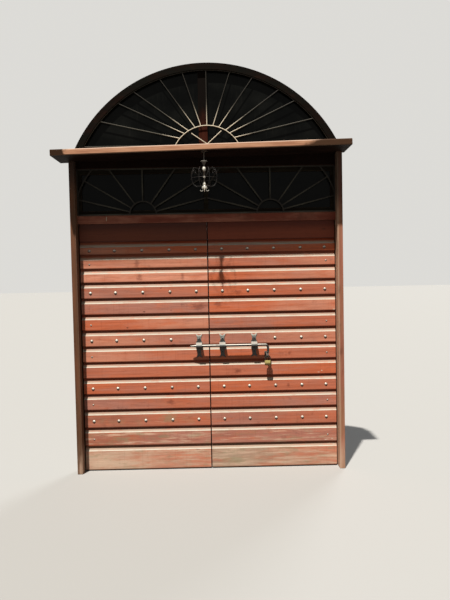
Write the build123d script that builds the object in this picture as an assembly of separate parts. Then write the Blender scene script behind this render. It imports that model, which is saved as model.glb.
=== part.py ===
"""Arched double door in its timber frame, in millimetres.

X runs to the right across the doorway, Y runs into the building and Z runs up.
The origin is on the sill, on the meeting line of the leaves, in the plane of their outer boards.
"""
from build123d import *
from math import atan2, cos, degrees, radians, sin, sqrt, tan
import os

# Doorway and leaves
LEAF_EDGE = 1100.0              # from the meeting line to the hinge edge of a leaf
LEAF_BOTTOM = 8.0               # gap over the sill
LEAF_TOP = 2156.0
MEETING_GAP = 8.0               # lets both leaves swing inwards past each other
JAMB_GAP = 10.0                 # between a leaf and its jamb
BOARD_THICKNESS = 30.0
LINING_THICKNESS = 35.0
PLANKS_IN_LINING = 5
PLANK_GROOVE = 4.0              # half width and depth of the grooves between lining planks

# Heights of the boards' lower edges over the lowest board's, top board first
BOARD_EDGES = (1986.0, 1876.0, 1756.0, 1637.0, 1499.0, 1360.0, 1221.0, 1083.0,
               945.0, 805.0, 665.0, 527.0, 371.0, 210.0, 0.0)
BEVEL_HEIGHT = 42.0             # weathering slope along a board's top
BEVEL_DEPTH = 18.0
ARRIS = 3.0                     # small flat between face and slope
LAP_HEIGHT = 12.0               # tongue that goes up behind the next board
LAP_CLEARANCE = 0.5

# Frame
JAMB_WIDTH = 45.0
JAMB_FRONT_DEPTH = 90.0         # jamb in front of the leaves
JAMB_SETBACK = 1.0              # jamb's back face short of the leaves' back face
JAMB_EASE = 3.0                 # eased corner under the shelf
RAIL_FRONT = -15.0
STOP_LIP_BOTTOM = 2150.0        # lip of the transom rail that the leaves close against
STOP_LIP_GAP = 0.5
RAIL_BOTTOM = 2162.0
RAIL_TOP = 2221.0
RAIL_ARRIS = 7.0
BEAM_BOTTOM = 2618.0
BEAM_TOP = 2753.0

# Fixing holes through the jambs, behind the leaves' line of closing
FIXING_RADIUS = 5.5
FIXING_HEIGHTS = (420.0, 2320.0)
FIXING_FROM_BACK = 20.0

# Canopy shelf over the transom light
SHELF_OVERHANG_LEFT = 85.0      # past the jambs, into the wall
SHELF_OVERHANG_RIGHT = 31.0
SHELF_FRONT = -350.0
SHELF_THICKNESS = 50.0
SHELF_TOP = 2746.0              # at the meeting line
SHELF_TILT = 1.2                # degrees, right end high
SHELF_ARRIS = 6.0

# Transom light
SASH_WIDTH = 38.0
SASH_TOP_WIDTH = 45.0
SASH_FRONT = 8.0
SASH_THICKNESS = 40.0
SASH_MULLION_WIDTH = 35.0
SASH_MULLION_X = -5.0
PANE_THICKNESS = 6.0
PANE_IN_GROOVE = 8.0
SUNBURST_OFFSET = 7.0           # hub centres, from the middle of each half towards the meeting line
SUNBURST_HUB = 120.0
SUNBURST_RADIUS = 585.0
SUNBURST_ANGLES = (14.0, 31.0, 54.0, 90.0, 126.0, 149.0, 166.0)

# Fanlight
ARCH_RISE = 745.0               # outside of the arched frame over the head beam
ARCH_SETBACK = 6.0              # foot of the arch inside the jambs' outer faces
ARCH_CENTRE_X = 16.0            # the arch sits a little right of the meeting line
ARCH_WIDTH = 55.0
FAN_SILL_HEIGHT = 50.0
FAN_MULLION_WIDTH = 75.0
FAN_MULLION_X = -17.0
FAN_MULLION_FRONT = 12.0
FAN_MULLION_THICKNESS = 42.0
FAN_PANE_FRONT = 28.0
FAN_ANGLES = (12.6, 25.2, 36.0, 54.5, 71.5, 90.0, 108.5, 125.5, 144.0, 154.8, 167.4)
FAN_HUB_HALF_WIDTH = 274.0
FAN_HUB_RISE = 162.0
FAN_V_LENGTH = 165.0
FAN_V_ANGLES = (42.0, 145.0)

# Ironwork of both lights
BAR_WIDTH = 11.0
BAR_THICKNESS = 9.0
GRILLE_FRONT = -9.0

# Studs and nails
STUD_RADIUS = 14.0
STUD_HEIGHT = 7.0
NAIL_RADIUS = 8.0
NAIL_HEIGHT = 3.5
STUD_FROM_HINGE = {"left": 80.0, "right": 89.0}
STUD_FROM_MEETING = {"left": 105.0, "right": 121.0}
STUD_SHARES = (0.0, 0.236, 0.494, 0.751, 1.0)       # columns between those two, from the hinge edge
STUDS_UNDER_STRAPS = {"left": (4,), "right": (3, 4)}   # columns whose place the bolt's straps take
NAIL_FROM_EDGE = 78.0
BOARD_HEADS = ("none", "studs", "nail", "none", "studs", "none", "nail", "studs and bolt", "nail", "none",
               "studs", "nail", "studs", "nail", "none")

# Strap hinges on the inside
HINGE_HEIGHTS = (270.0, 1110.0, 1930.0)
STRAP_LENGTH = 760.0
STRAP_WIDTH = 50.0
STRAP_TIP_WIDTH = 30.0
STRAP_THICKNESS = 8.0
HINGE_AXIS_OUT = 12.0           # hinge axis beyond the leaf's edge
HINGE_AXIS_BACK = 20.0          # hinge axis behind the leaf's back face
EYE_RADIUS = 16.0
PIN_RADIUS = 9.0
PIN_CLEARANCE = 0.3
PIN_PROUD = 6.0
PINTLE_BLOCK_HEIGHT = 30.0
PINTLE_PLATE_HEIGHT = 110.0
PINTLE_PLATE_THICKNESS = 6.0
STRAP_NAIL_SPACING = 165.0

# Bolt
ROD_RADIUS = 10.0
ROD_Z = 1083.0
ROD_OUT = 50.0                  # rod's axis in front of the leaves
ROD_TIP_X = -164.0
ROD_TIP_RADIUS = 4.0
ROD_TAPER = 44.0
ROD_BEND_RADIUS = 24.0
HANDLE_X = 505.0
HANDLE_FOOT_Z = 1012.0             # where the round handle turns into its flat eye
HASP_Z = 992.0                  # height of the eyes that the padlock goes through
HASP_HOLE = 8.0
EYE_PLATE_RADIUS = 18.0
EYE_PLATE_THICKNESS = 8.0
STAPLE_GAP = 4.0                # between the handle's eye and the staple on the leaf
STAPLE_THICKNESS = 6.0
STAPLE_RADIUS = 16.0
STAPLE_BASE_WIDTH = 34.0
STAPLE_BASE_HEIGHT = 58.0
STAPLE_BASE_THICKNESS = 3.0
STAPLE_SCREW_SPACING = 40.0
KEEPER_X = -90.0
GUIDE_XS = (113.0, 388.0)
LOOP_WIDTH = 52.0
LOOP_CLEARANCE = 0.3
STRAP_SHEET = 5.0               # thickness of the forged straps
TAIL_WIDTH = 34.0
TAIL_FORK = 56.0
TAIL_NOTCH = 14.0
TAIL_TOP = 1183.0
TAIL_BOTTOM = 975.0

# Padlock
LOCK_X = 500.0
LOCK_WIDTH = 50.0
LOCK_TOP = 948.0
LOCK_HEIGHT = 43.0
LOCK_THICKNESS = 20.0
LOCK_EDGE = 4.0
SHACKLE_RADIUS = 4.0            # of its round bar
SHACKLE_BOW = 22.0              # radius of its bow, to the middle of the bar
SHACKLE_IN_LOCK = 10.0
SHACKLE_SEAT = 0.3              # rides this far above the holes' lowest points
KEYHOLE_WIDTH = 8.0
KEYHOLE_THICKNESS = 2.0

# Hanging lantern; its profiles are (radius, height) pairs from the top disc down
LANTERN_X = -10.0
LANTERN_Y = -300.0
LANTERN_TOP = 2613.0            # height of its top disc's underside
ROSE_RADIUS = 33.0
ROSE_RIM = 3.0
ROSE_NECK = 14.0
ROD_ABOVE = 5.0                 # radius of the rod between rose and disc
CONE_PROFILE = ((29.0, 4.0), (29.0, 0.0), (24.0, -3.0), (9.0, -30.0), (9.0, -38.0), (0.0, -38.0))
BULB_PROFILE = ((7.0, -78.0), (13.0, -64.0), (13.5, -57.0), (10.0, -46.0), (5.0, -38.0))
STEM_PROFILE = ((0.0, -78.0), (9.0, -78.0), (9.0, -86.0), (5.0, -92.0), (5.0, -118.0), (12.0, -126.0),
                (5.0, -134.0), (5.0, -170.0), (11.0, -176.0), (12.0, -184.0), (8.0, -192.0), (10.0, -196.0),
                (20.0, -200.0), (21.0, -214.0), (6.0, -222.0), (0.0, -224.0))
FOOT_REACH = 24.0
FOOT_Z = -226.0
FOOT_CURL = 12.0
FOOT_ARC = (100.0, 340.0)
FEET = 4
CAGE_RADIUS = 112.0
CAGE_BARS = 8
CAGE_BAR_WIDTH = 7.0
CAGE_BAR_THICKNESS = 3.0
CAGE_FLOOR = -200.0
CAGE_BELLY = 62.0               # radius of the cage's bulging side
CAGE_OPENING = 75.0             # angle over level where the side turns into its scroll
CAGE_SCROLL = 20.0
CAGE_SCROLL_TURN = 145.0
CAGE_FOOT_RADIUS = 20.5         # where the cage's bars meet the stem's cup
HOOP_THICKNESS = 4.6
HOOP_HEIGHT = 9.0

# Derived places
LEAF_BACK = BOARD_THICKNESS + LINING_THICKNESS
JAMB_INSIDE = LEAF_EDGE + JAMB_GAP
JAMB_OUTSIDE = JAMB_INSIDE + JAMB_WIDTH
JAMB_BACK = LEAF_BACK - JAMB_SETBACK
HINGE_X = LEAF_EDGE + HINGE_AXIS_OUT
HINGE_Y = LEAF_BACK + HINGE_AXIS_BACK
MEETING_EDGE = MEETING_GAP / 2
FAN_SILL_TOP = BEAM_TOP + FAN_SILL_HEIGHT
FAN_CENTRE_Z = FAN_SILL_TOP + BAR_WIDTH
ARCH_FOOT = JAMB_OUTSIDE - ARCH_SETBACK
ARCH_RADIUS = (ARCH_FOOT ** 2 + ARCH_RISE ** 2) / (2 * ARCH_RISE)
ARCH_CENTRE_Z = BEAM_TOP + ARCH_RISE - ARCH_RADIUS
ARCH_INSIDE = ARCH_RADIUS - ARCH_WIDTH
FAR = 4000.0                    # larger than the whole door, for trimming outlines


def block(x0, x1, y0, y1, z0, z1):
    """A box between two corners."""
    return Pos((x0 + x1) / 2, (y0 + y1) / 2, (z0 + z1) / 2) * Box(x1 - x0, y1 - y0, z1 - z0)


def slab_x(sketch, x0, x1):
    """A flat (Y, Z) sketch carried along X."""
    return extrude(Plane.YZ.offset(x0) * sketch, amount=x1 - x0, dir=(1, 0, 0))


def prism_x(outline, x0, x1):
    """A (Y, Z) outline carried along X."""
    return slab_x(Polygon(*outline, align=None), x0, x1)


def prism_y(sketch, y0, y1):
    """A flat (X, Z) sketch carried along Y."""
    return extrude(Plane.XZ.offset(-y1) * sketch, amount=y1 - y0, dir=(0, -1, 0))


def rectangle(x0, x1, z0, z1):
    """A flat rectangle between two corners."""
    return Pos((x0 + x1) / 2, (z0 + z1) / 2) * Rectangle(x1 - x0, z1 - z0)


def ring(x, z, outer, inner):
    """A flat ring."""
    return Pos(x, z) * (Circle(outer) - Circle(inner))


def bar(x, z, angle, start, end):
    """A flat bar that runs out from a point at an angle over +X."""
    middle = (start + end) / 2
    return Pos(x, z) * Rot(0, 0, angle) * Pos(middle, 0) * Rectangle(end - start, BAR_WIDTH)


def band(centre, radius, start, end, width):
    """A flat strip bent to an arc, between two angles in degrees."""
    def arc(r):
        return CenterArc(centre, r, start, end - start)
    outer, inner = arc(radius + width / 2), arc(radius - width / 2)
    sides = [Line(outer @ 0, inner @ 0), Line(outer @ 1, inner @ 1)]
    return make_face([outer, inner] + sides)


def mirrored(shape):
    """The same piece for the other side of the doorway."""
    return mirror(shape, about=Plane.YZ)


def board_bottom(index):
    return LEAF_BOTTOM + BOARD_EDGES[index]


def board_top(index):
    """The height that a board shows up to, where the next one laps it."""
    if index == 0:
        return LEAF_TOP
    return board_bottom(index - 1)


def face_top(index):
    """The top of a board's flat face, under its slope."""
    if index == 0:
        return LEAF_TOP
    return board_top(index) - BEVEL_HEIGHT - ARRIS


def board_outline(index):
    """Section of one board: face, arris, slope, tongue behind the next board, and a rebate below."""
    low, high = board_bottom(index), board_top(index)
    lip = BEVEL_DEPTH - LAP_CLEARANCE
    outline = [(0, low)]
    if index == 0:
        outline += [(0, high), (BOARD_THICKNESS, high)]
    else:
        outline += [(0, face_top(index)), (ARRIS, high - BEVEL_HEIGHT), (BEVEL_DEPTH, high),
                    (BEVEL_DEPTH, high + LAP_HEIGHT), (BOARD_THICKNESS, high + LAP_HEIGHT)]
    if index == len(BOARD_EDGES) - 1:
        outline += [(BOARD_THICKNESS, low)]
    else:
        rebate = low + LAP_HEIGHT + 2 * LAP_CLEARANCE
        outline += [(BOARD_THICKNESS, rebate), (lip, rebate), (lip, low)]
    return outline


def leaf_boards():
    """The lapped outer boards of the left leaf, top board first."""
    return [prism_x(board_outline(i), -LEAF_EDGE, -MEETING_EDGE) for i in range(len(BOARD_EDGES))]


def inner_lining():
    """Upright planks joined edge to edge, with a groove at each joint on the inside."""
    lining = block(-LEAF_EDGE, -MEETING_EDGE, BOARD_THICKNESS, LEAF_BACK, LEAF_BOTTOM, LEAF_TOP)
    pitch = (LEAF_EDGE - MEETING_EDGE) / PLANKS_IN_LINING
    groove = Polygon((-PLANK_GROOVE, 0), (PLANK_GROOVE, 0), (0, -PLANK_GROOVE), align=None)
    for joint in range(1, PLANKS_IN_LINING):
        place = Pos(-LEAF_EDGE + joint * pitch, LEAF_BACK, LEAF_BOTTOM)
        lining -= place * extrude(groove, amount=LEAF_TOP - LEAF_BOTTOM, dir=(0, 0, 1))
    return lining


def dome(radius, height):
    """A domed nail head whose flat back is at Y = 0 and whose crown points to -Y."""
    ball = (radius ** 2 + height ** 2) / (2 * height)
    edge = degrees(atan2(ball - height, radius))
    crown = CenterArc((0, height - ball), ball, edge, 90 - edge)
    outline = make_face([crown, Line((0, height), (0, 0)), Line((0, 0), (radius, 0))])
    return Rot(90, 0, 0) * revolve(Plane.XZ * outline, Axis.Z)


def face_middle(index):
    """Height of the middle of a board's flat face."""
    return (board_bottom(index) + face_top(index)) / 2


def leaf_studs(name, side):
    """Rows of big domed studs, less those whose place the bolt's straps take, and a nail on other boards."""
    stud, nail = dome(STUD_RADIUS, STUD_HEIGHT), dome(NAIL_RADIUS, NAIL_HEIGHT)
    first, last = LEAF_EDGE - STUD_FROM_HINGE[name], STUD_FROM_MEETING[name]
    columns = [side * (first + share * (last - first)) for share in STUD_SHARES]
    beside_straps = [x for number, x in enumerate(columns) if number not in STUDS_UNDER_STRAPS[name]]
    heads = []
    for index, kind in enumerate(BOARD_HEADS):
        if kind == "nail":
            heads.append(Pos(side * (LEAF_EDGE - NAIL_FROM_EDGE), 0, face_middle(index)) * nail)
        elif kind != "none":
            kept = columns if kind == "studs" else beside_straps
            heads += [Pos(x, 0, face_middle(index)) * stud for x in kept]
    return Compound(children=heads)


def jamb(side):
    """An upright post; its front half ends under the sloping shelf and its back half under the arch."""
    inside, outside = side * JAMB_INSIDE, side * JAMB_OUTSIDE
    eased = outside - side * JAMB_EASE
    low, high = min(inside, outside), max(inside, outside)
    front = Polygon((inside, 0), (outside, 0), (outside, shelf_underside(outside) - JAMB_EASE),
                    (eased, shelf_underside(eased)), (inside, shelf_underside(inside)), align=None)
    post = prism_y(front, -JAMB_FRONT_DEPTH, RAIL_FRONT) + block(low, high, RAIL_FRONT, JAMB_BACK, 0, BEAM_TOP)
    hole = Rot(0, 90, 0) * Cylinder(FIXING_RADIUS, 3 * JAMB_WIDTH)
    for height in FIXING_HEIGHTS:
        post -= Pos((low + high) / 2, JAMB_BACK - FIXING_FROM_BACK, height) * hole
    return post


def shelf_underside(x):
    """Height of the shelf's sloping underside at X."""
    return SHELF_TOP - SHELF_THICKNESS / cos(radians(SHELF_TILT)) + x * tan(radians(SHELF_TILT))


def canopy_shelf():
    """A thick board with its front top edge eased, laid with its right end high."""
    top, low = 0, -SHELF_THICKNESS
    outline = [(SHELF_FRONT, low), (SHELF_FRONT, top - SHELF_ARRIS), (SHELF_FRONT + SHELF_ARRIS, top),
               (RAIL_FRONT, top), (RAIL_FRONT, low)]
    board = prism_x(outline, -JAMB_OUTSIDE - SHELF_OVERHANG_LEFT, JAMB_OUTSIDE + SHELF_OVERHANG_RIGHT)
    return Pos(0, 0, SHELF_TOP) * Rot(0, -SHELF_TILT, 0) * board


def transom_rail():
    """The cross rail over the leaves, with a lip in front that stops them."""
    outline = [(RAIL_FRONT, STOP_LIP_BOTTOM), (RAIL_FRONT, RAIL_TOP - RAIL_ARRIS),
               (RAIL_FRONT + RAIL_ARRIS, RAIL_TOP), (JAMB_BACK, RAIL_TOP), (JAMB_BACK, RAIL_BOTTOM),
               (-STOP_LIP_GAP, RAIL_BOTTOM), (-STOP_LIP_GAP, STOP_LIP_BOTTOM)]
    return prism_x(outline, -JAMB_INSIDE, JAMB_INSIDE)


def head_beam():
    return block(-JAMB_INSIDE, JAMB_INSIDE, RAIL_FRONT, JAMB_BACK, BEAM_BOTTOM, BEAM_TOP)


def transom_openings():
    """The two glazed openings of the transom light, as (left, right) X values."""
    half = SASH_MULLION_WIDTH / 2
    inner = JAMB_INSIDE - SASH_WIDTH
    return [(-inner, SASH_MULLION_X - half), (SASH_MULLION_X + half, inner)]


def transom_light():
    """The fixed sash with its mullion, and the two panes held in its grooves."""
    low, high = RAIL_TOP + SASH_WIDTH, BEAM_BOTTOM - SASH_TOP_WIDTH
    outline = rectangle(-JAMB_INSIDE, JAMB_INSIDE, RAIL_TOP, BEAM_BOTTOM)
    for left, right in transom_openings():
        outline -= rectangle(left, right, low, high)
    sash = prism_y(outline, SASH_FRONT, SASH_FRONT + SASH_THICKNESS)
    middle = SASH_FRONT + SASH_THICKNESS / 2
    panes = [block(left - PANE_IN_GROOVE, right + PANE_IN_GROOVE, middle - PANE_THICKNESS / 2,
                   middle + PANE_THICKNESS / 2, low - PANE_IN_GROOVE, high + PANE_IN_GROOVE)
             for left, right in transom_openings()]
    for pane in panes:
        sash -= pane
    return sash, Compound(children=panes)


def transom_grille(side):
    """A sunburst of flat bars in a border: half hub, rays and as much of the outer hoop as fits."""
    x, z = side * (JAMB_INSIDE / 2 - SUNBURST_OFFSET), RAIL_TOP
    outline = ring(x, z, SUNBURST_HUB, SUNBURST_HUB - BAR_WIDTH)
    outline += ring(x, z, SUNBURST_RADIUS, SUNBURST_RADIUS - BAR_WIDTH)
    outline += rectangle(-FAR, FAR, z, z + BAR_WIDTH)
    outline += rectangle(-FAR, FAR, BEAM_BOTTOM - BAR_WIDTH, BEAM_BOTTOM)
    edge = sorted((side * (JAMB_INSIDE - BAR_WIDTH), side * JAMB_INSIDE))
    outline += rectangle(*edge, z, BEAM_BOTTOM)
    for angle in SUNBURST_ANGLES:
        outline += bar(x, z, angle, SUNBURST_HUB - BAR_WIDTH / 2, SUNBURST_RADIUS - BAR_WIDTH / 2)
    inner, outer = sorted((side * BAR_WIDTH / 4, side * JAMB_INSIDE))
    outline &= rectangle(inner, outer, RAIL_TOP, BEAM_BOTTOM)
    return prism_y(outline, GRILLE_FRONT, GRILLE_FRONT + BAR_THICKNESS)


def above(z):
    """The part of the flat drawing over a height."""
    return rectangle(-FAR, FAR, z, z + FAR)


def arch_frame():
    outline = ring(ARCH_CENTRE_X, ARCH_CENTRE_Z, ARCH_RADIUS, ARCH_INSIDE) & above(BEAM_TOP)
    return prism_y(outline, RAIL_FRONT, JAMB_BACK)


def arch_inside():
    """The flat shape inside the arched frame and over the fanlight's sill."""
    return (Pos(ARCH_CENTRE_X, ARCH_CENTRE_Z) * Circle(ARCH_INSIDE)) & above(FAN_SILL_TOP)


def fanlight_sill():
    outline = Pos(ARCH_CENTRE_X, ARCH_CENTRE_Z) * Circle(ARCH_INSIDE)
    outline &= rectangle(-FAR, FAR, BEAM_TOP, FAN_SILL_TOP)
    return prism_y(outline, RAIL_FRONT, JAMB_BACK)


def fanlight_mullion():
    half = FAN_MULLION_WIDTH / 2
    outline = arch_inside() & rectangle(FAN_MULLION_X - half, FAN_MULLION_X + half, BEAM_TOP, FAR)
    post = prism_y(outline, FAN_MULLION_FRONT, FAN_MULLION_FRONT + FAN_MULLION_THICKNESS)
    for pane in fanlight_panes():
        post -= pane
    return post


def fanlight_panes():
    """Two panes that meet the frame and stand in the mullion's grooves."""
    edge = FAN_MULLION_WIDTH / 2 - PANE_IN_GROOVE
    left = arch_inside() & rectangle(-FAR, FAN_MULLION_X - edge, BEAM_TOP, FAR)
    right = arch_inside() & rectangle(FAN_MULLION_X + edge, FAR, BEAM_TOP, FAR)
    return [prism_y(shape, FAN_PANE_FRONT, FAN_PANE_FRONT + PANE_THICKNESS) for shape in (left, right)]


def reach_to_arch(angle):
    """Distance from the fan's centre to the inside of the arch, along an angle."""
    drop = FAN_CENTRE_Z - ARCH_CENTRE_Z
    along = drop * sin(radians(angle))
    return sqrt(ARCH_INSIDE ** 2 - drop ** 2 + along ** 2) - along


def fanlight_grille():
    """The fan of flat bars: hoop, rays, flattened hub, the small V in it and the bar along the sill."""
    outline = ring(ARCH_CENTRE_X, ARCH_CENTRE_Z, ARCH_INSIDE, ARCH_INSIDE - BAR_WIDTH)
    outline += rectangle(-FAR, FAR, FAN_SILL_TOP, FAN_SILL_TOP + BAR_WIDTH)
    hub_radius = (FAN_HUB_HALF_WIDTH ** 2 + FAN_HUB_RISE ** 2) / (2 * FAN_HUB_RISE)
    hub_z = FAN_CENTRE_Z + FAN_HUB_RISE - hub_radius
    outline += ring(ARCH_CENTRE_X, hub_z, hub_radius, hub_radius - BAR_WIDTH)
    for angle in FAN_ANGLES:
        end = reach_to_arch(angle) - BAR_WIDTH / 2
        start = reach_to_hub(angle, hub_radius, hub_z)
        outline += bar(ARCH_CENTRE_X, FAN_CENTRE_Z, angle, start, end)
    for angle in FAN_V_ANGLES:
        outline += bar(ARCH_CENTRE_X, FAN_CENTRE_Z, angle, 0, FAN_V_LENGTH)
    outline &= arch_inside()
    return prism_y(outline, GRILLE_FRONT, GRILLE_FRONT + BAR_THICKNESS)


def reach_to_hub(angle, hub_radius, hub_z):
    """Distance from the fan's centre to the middle of the hub's bar, along an angle."""
    rise = FAN_CENTRE_Z - hub_z
    along = rise * sin(radians(angle))
    middle = hub_radius - BAR_WIDTH / 2
    return sqrt(middle ** 2 - rise ** 2 + along ** 2) - along


def hinge_strap(height):
    """A tapering strap along the back of the left leaf, rolled into an eye round its pin."""
    root = -HINGE_X
    length = STRAP_LENGTH
    outline = Polygon((root, height - STRAP_WIDTH / 2), (root + length, height - STRAP_TIP_WIDTH / 2),
                      (root + length + STRAP_TIP_WIDTH / 2, height),
                      (root + length, height + STRAP_TIP_WIDTH / 2), (root, height + STRAP_WIDTH / 2),
                      align=None)
    strap = prism_y(outline, LEAF_BACK, LEAF_BACK + STRAP_THICKNESS)
    strap += Pos(root, HINGE_Y, height) * Cylinder(EYE_RADIUS, STRAP_WIDTH)
    strap += block(root, root + EYE_RADIUS, LEAF_BACK, HINGE_Y, height - STRAP_WIDTH / 2,
                   height + STRAP_WIDTH / 2)
    strap -= Pos(root, HINGE_Y, height) * Cylinder(PIN_RADIUS + PIN_CLEARANCE, 2 * STRAP_WIDTH)
    head = Rot(180, 0, 0) * dome(NAIL_RADIUS, NAIL_HEIGHT)
    spacing = STRAP_NAIL_SPACING
    for step in range(int((length - STRAP_TIP_WIDTH) // spacing)):
        strap += Pos(root + (step + 1) * spacing, LEAF_BACK + STRAP_THICKNESS, height) * head
    return strap


def pintle(height):
    """A plate on the back of the left jamb that carries an upright pin under the strap's eye."""
    seat = height - STRAP_WIDTH / 2 - PIN_CLEARANCE
    foot = seat - PINTLE_PLATE_HEIGHT
    piece = block(-JAMB_OUTSIDE, -JAMB_INSIDE, JAMB_BACK, JAMB_BACK + PINTLE_PLATE_THICKNESS, foot, seat)
    piece += block(-JAMB_OUTSIDE + PIN_RADIUS, -HINGE_X, JAMB_BACK, HINGE_Y + PIN_RADIUS,
                   seat - PINTLE_BLOCK_HEIGHT, seat)
    collar = PIN_RADIUS + PINTLE_PLATE_THICKNESS / 2
    piece += Pos(-HINGE_X, HINGE_Y, seat - PINTLE_BLOCK_HEIGHT / 2) * Cylinder(collar, PINTLE_BLOCK_HEIGHT)
    pin_top = height + STRAP_WIDTH / 2 + PIN_PROUD
    pin_length = pin_top - (seat - PINTLE_BLOCK_HEIGHT)
    return piece + Pos(-HINGE_X, HINGE_Y, pin_top - pin_length / 2) * Cylinder(PIN_RADIUS, pin_length)


def eye_disc(x, radius, thickness):
    """A round plate across X, at the height of the padlock's bow."""
    return Pos(x, -ROD_OUT, HASP_Z) * Rot(0, 90, 0) * Cylinder(radius, thickness)


def bolt_rod():
    """A round rod, tapered at its tip, bent down at its other end and flattened to an eye."""
    straight_end = HANDLE_X - ROD_BEND_RADIUS
    taper_end = ROD_TIP_X + ROD_TAPER
    shaft = Line((taper_end, ROD_Z), (straight_end, ROD_Z))
    bend = CenterArc((straight_end, ROD_Z - ROD_BEND_RADIUS), ROD_BEND_RADIUS, 90, -90)
    shank = Line((HANDLE_X, ROD_Z - ROD_BEND_RADIUS), (HANDLE_X, HANDLE_FOOT_Z))
    path = Plane.XZ.offset(ROD_OUT) * Wire([shaft, bend, shank])
    start = Plane(origin=(taper_end, -ROD_OUT, ROD_Z), z_dir=(1, 0, 0))
    rod = sweep(start * Circle(ROD_RADIUS), path=path)
    tip = Pos((ROD_TIP_X + taper_end) / 2, -ROD_OUT, ROD_Z) * Rot(0, 90, 0)
    rod += tip * Cone(ROD_TIP_RADIUS, ROD_RADIUS, ROD_TAPER)
    half = EYE_PLATE_THICKNESS / 2
    rod += block(HANDLE_X - half, HANDLE_X + half, -ROD_OUT - ROD_RADIUS, -ROD_OUT + ROD_RADIUS, HASP_Z,
                 HANDLE_FOOT_Z + ROD_RADIUS)
    rod += eye_disc(HANDLE_X, EYE_PLATE_RADIUS, EYE_PLATE_THICKNESS)
    return rod - eye_disc(HANDLE_X, HASP_HOLE, 4 * ROD_RADIUS)


def padlock_staple():
    """A plate on the right leaf with an eye standing out beside the bolt's handle."""
    outer = HANDLE_X - EYE_PLATE_THICKNESS / 2 - STAPLE_GAP
    middle = outer - STAPLE_THICKNESS / 2
    staple = block(outer - STAPLE_THICKNESS, outer, -ROD_OUT, 0, HASP_Z - STAPLE_RADIUS,
                   HASP_Z + STAPLE_RADIUS)
    staple += eye_disc(middle, STAPLE_RADIUS, STAPLE_THICKNESS)
    staple -= eye_disc(middle, HASP_HOLE, 2 * STAPLE_THICKNESS)
    half_width, half_height = STAPLE_BASE_WIDTH / 2, STAPLE_BASE_HEIGHT / 2
    staple += block(middle - half_width, middle + half_width, -STAPLE_BASE_THICKNESS, 0, HASP_Z - half_height,
                    HASP_Z + half_height)
    for way in (-1, 1):
        place = Pos(middle, -STAPLE_BASE_THICKNESS, HASP_Z + way * STAPLE_SCREW_SPACING / 2)
        staple += place * dome(NAIL_RADIUS / 2, NAIL_HEIGHT / 2)
    return staple


def strap_profile():
    """Side view of a forged strap's loop: it leaves the board, goes round the rod and comes back."""
    inside = ROD_RADIUS + LOOP_CLEARANCE
    outside = inside + STRAP_SHEET
    foot = 2 * outside
    throat = foot - STRAP_SHEET
    skin = Pos(-ROD_OUT, ROD_Z) * Circle(outside)
    skin += Polygon((-ROD_OUT, ROD_Z + outside), (0, ROD_Z + foot), (0, ROD_Z - foot),
                    (-ROD_OUT, ROD_Z - outside), align=None)
    skin -= Pos(-ROD_OUT, ROD_Z) * Circle(inside)
    skin -= Polygon((-ROD_OUT, ROD_Z + inside), (1, ROD_Z + throat), (1, ROD_Z - throat),
                    (-ROD_OUT, ROD_Z - inside), align=None)
    return skin


def bolt_strap(x):
    """A forged strap: a loop round the rod between two tails that end in a fishtail on the boards."""
    half = LOOP_WIDTH / 2
    waist, tip = TAIL_WIDTH / 2, TAIL_FORK / 2
    foot = 2 * (ROD_RADIUS + LOOP_CLEARANCE + STRAP_SHEET)
    strap = slab_x(strap_profile(), x - half, x + half)
    for way, end in ((1, TAIL_TOP), (-1, TAIL_BOTTOM)):
        start = ROD_Z + way * (foot - STRAP_SHEET)
        neck = start + way * TAIL_WIDTH / 2
        fork = end - way * TAIL_FORK / 2
        tail = Polygon((x - half, start), (x + half, start), (x + half, start + way * STRAP_SHEET),
                       (x + waist, neck), (x + waist, fork), (x + tip, end), (x, end - way * TAIL_NOTCH),
                       (x - tip, end), (x - waist, fork), (x - waist, neck),
                       (x - half, start + way * STRAP_SHEET), align=None)
        strap += prism_y(tail, -STRAP_SHEET, 0)
        strap += Pos(x, -STRAP_SHEET, (neck + fork) / 2) * dome(NAIL_RADIUS, NAIL_HEIGHT)
    return strap


def bow_centre():
    """Height of the bow's centre when the shackle hangs just clear of the holes' lowest points."""
    reach = max(HANDLE_X + EYE_PLATE_THICKNESS / 2 - LOCK_X,
                LOCK_X - (HANDLE_X - EYE_PLATE_THICKNESS / 2 - STAPLE_GAP - STAPLE_THICKNESS))
    inside = SHACKLE_BOW - SHACKLE_RADIUS
    return HASP_Z - HASP_HOLE + SHACKLE_SEAT - sqrt(inside ** 2 - reach ** 2)


def padlock_shackle():
    """A round bar bent to a bow, with its legs let into the lock."""
    foot, centre = LOCK_TOP - SHACKLE_IN_LOCK, bow_centre()
    left, right = LOCK_X - SHACKLE_BOW, LOCK_X + SHACKLE_BOW
    line = Wire([Line((left, foot), (left, centre)), CenterArc((LOCK_X, centre), SHACKLE_BOW, 180, -180),
                 Line((right, centre), (right, foot))])
    start = Plane(origin=(left, -ROD_OUT, foot), z_dir=(0, 0, 1))
    return sweep(start * Circle(SHACKLE_RADIUS), path=Plane.XZ.offset(ROD_OUT) * line)


def padlock_body():
    """A brass block with eased edges, a hole for each leg and a keyhole below."""
    body = Box(LOCK_WIDTH, LOCK_THICKNESS, LOCK_HEIGHT)
    body = chamfer(body.edges().filter_by(Axis.Z), LOCK_EDGE)
    body = Pos(LOCK_X, -ROD_OUT, LOCK_TOP - LOCK_HEIGHT / 2) * body
    well = SHACKLE_IN_LOCK + 1
    for way in (-1, 1):
        place = Pos(LOCK_X + way * SHACKLE_BOW, -ROD_OUT, LOCK_TOP - well / 2)
        body -= place * Cylinder(SHACKLE_RADIUS, well)
    slot = Box(KEYHOLE_WIDTH, KEYHOLE_THICKNESS, 2 * LOCK_EDGE)
    return body - Pos(LOCK_X, -ROD_OUT, LOCK_TOP - LOCK_HEIGHT) * slot


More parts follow.
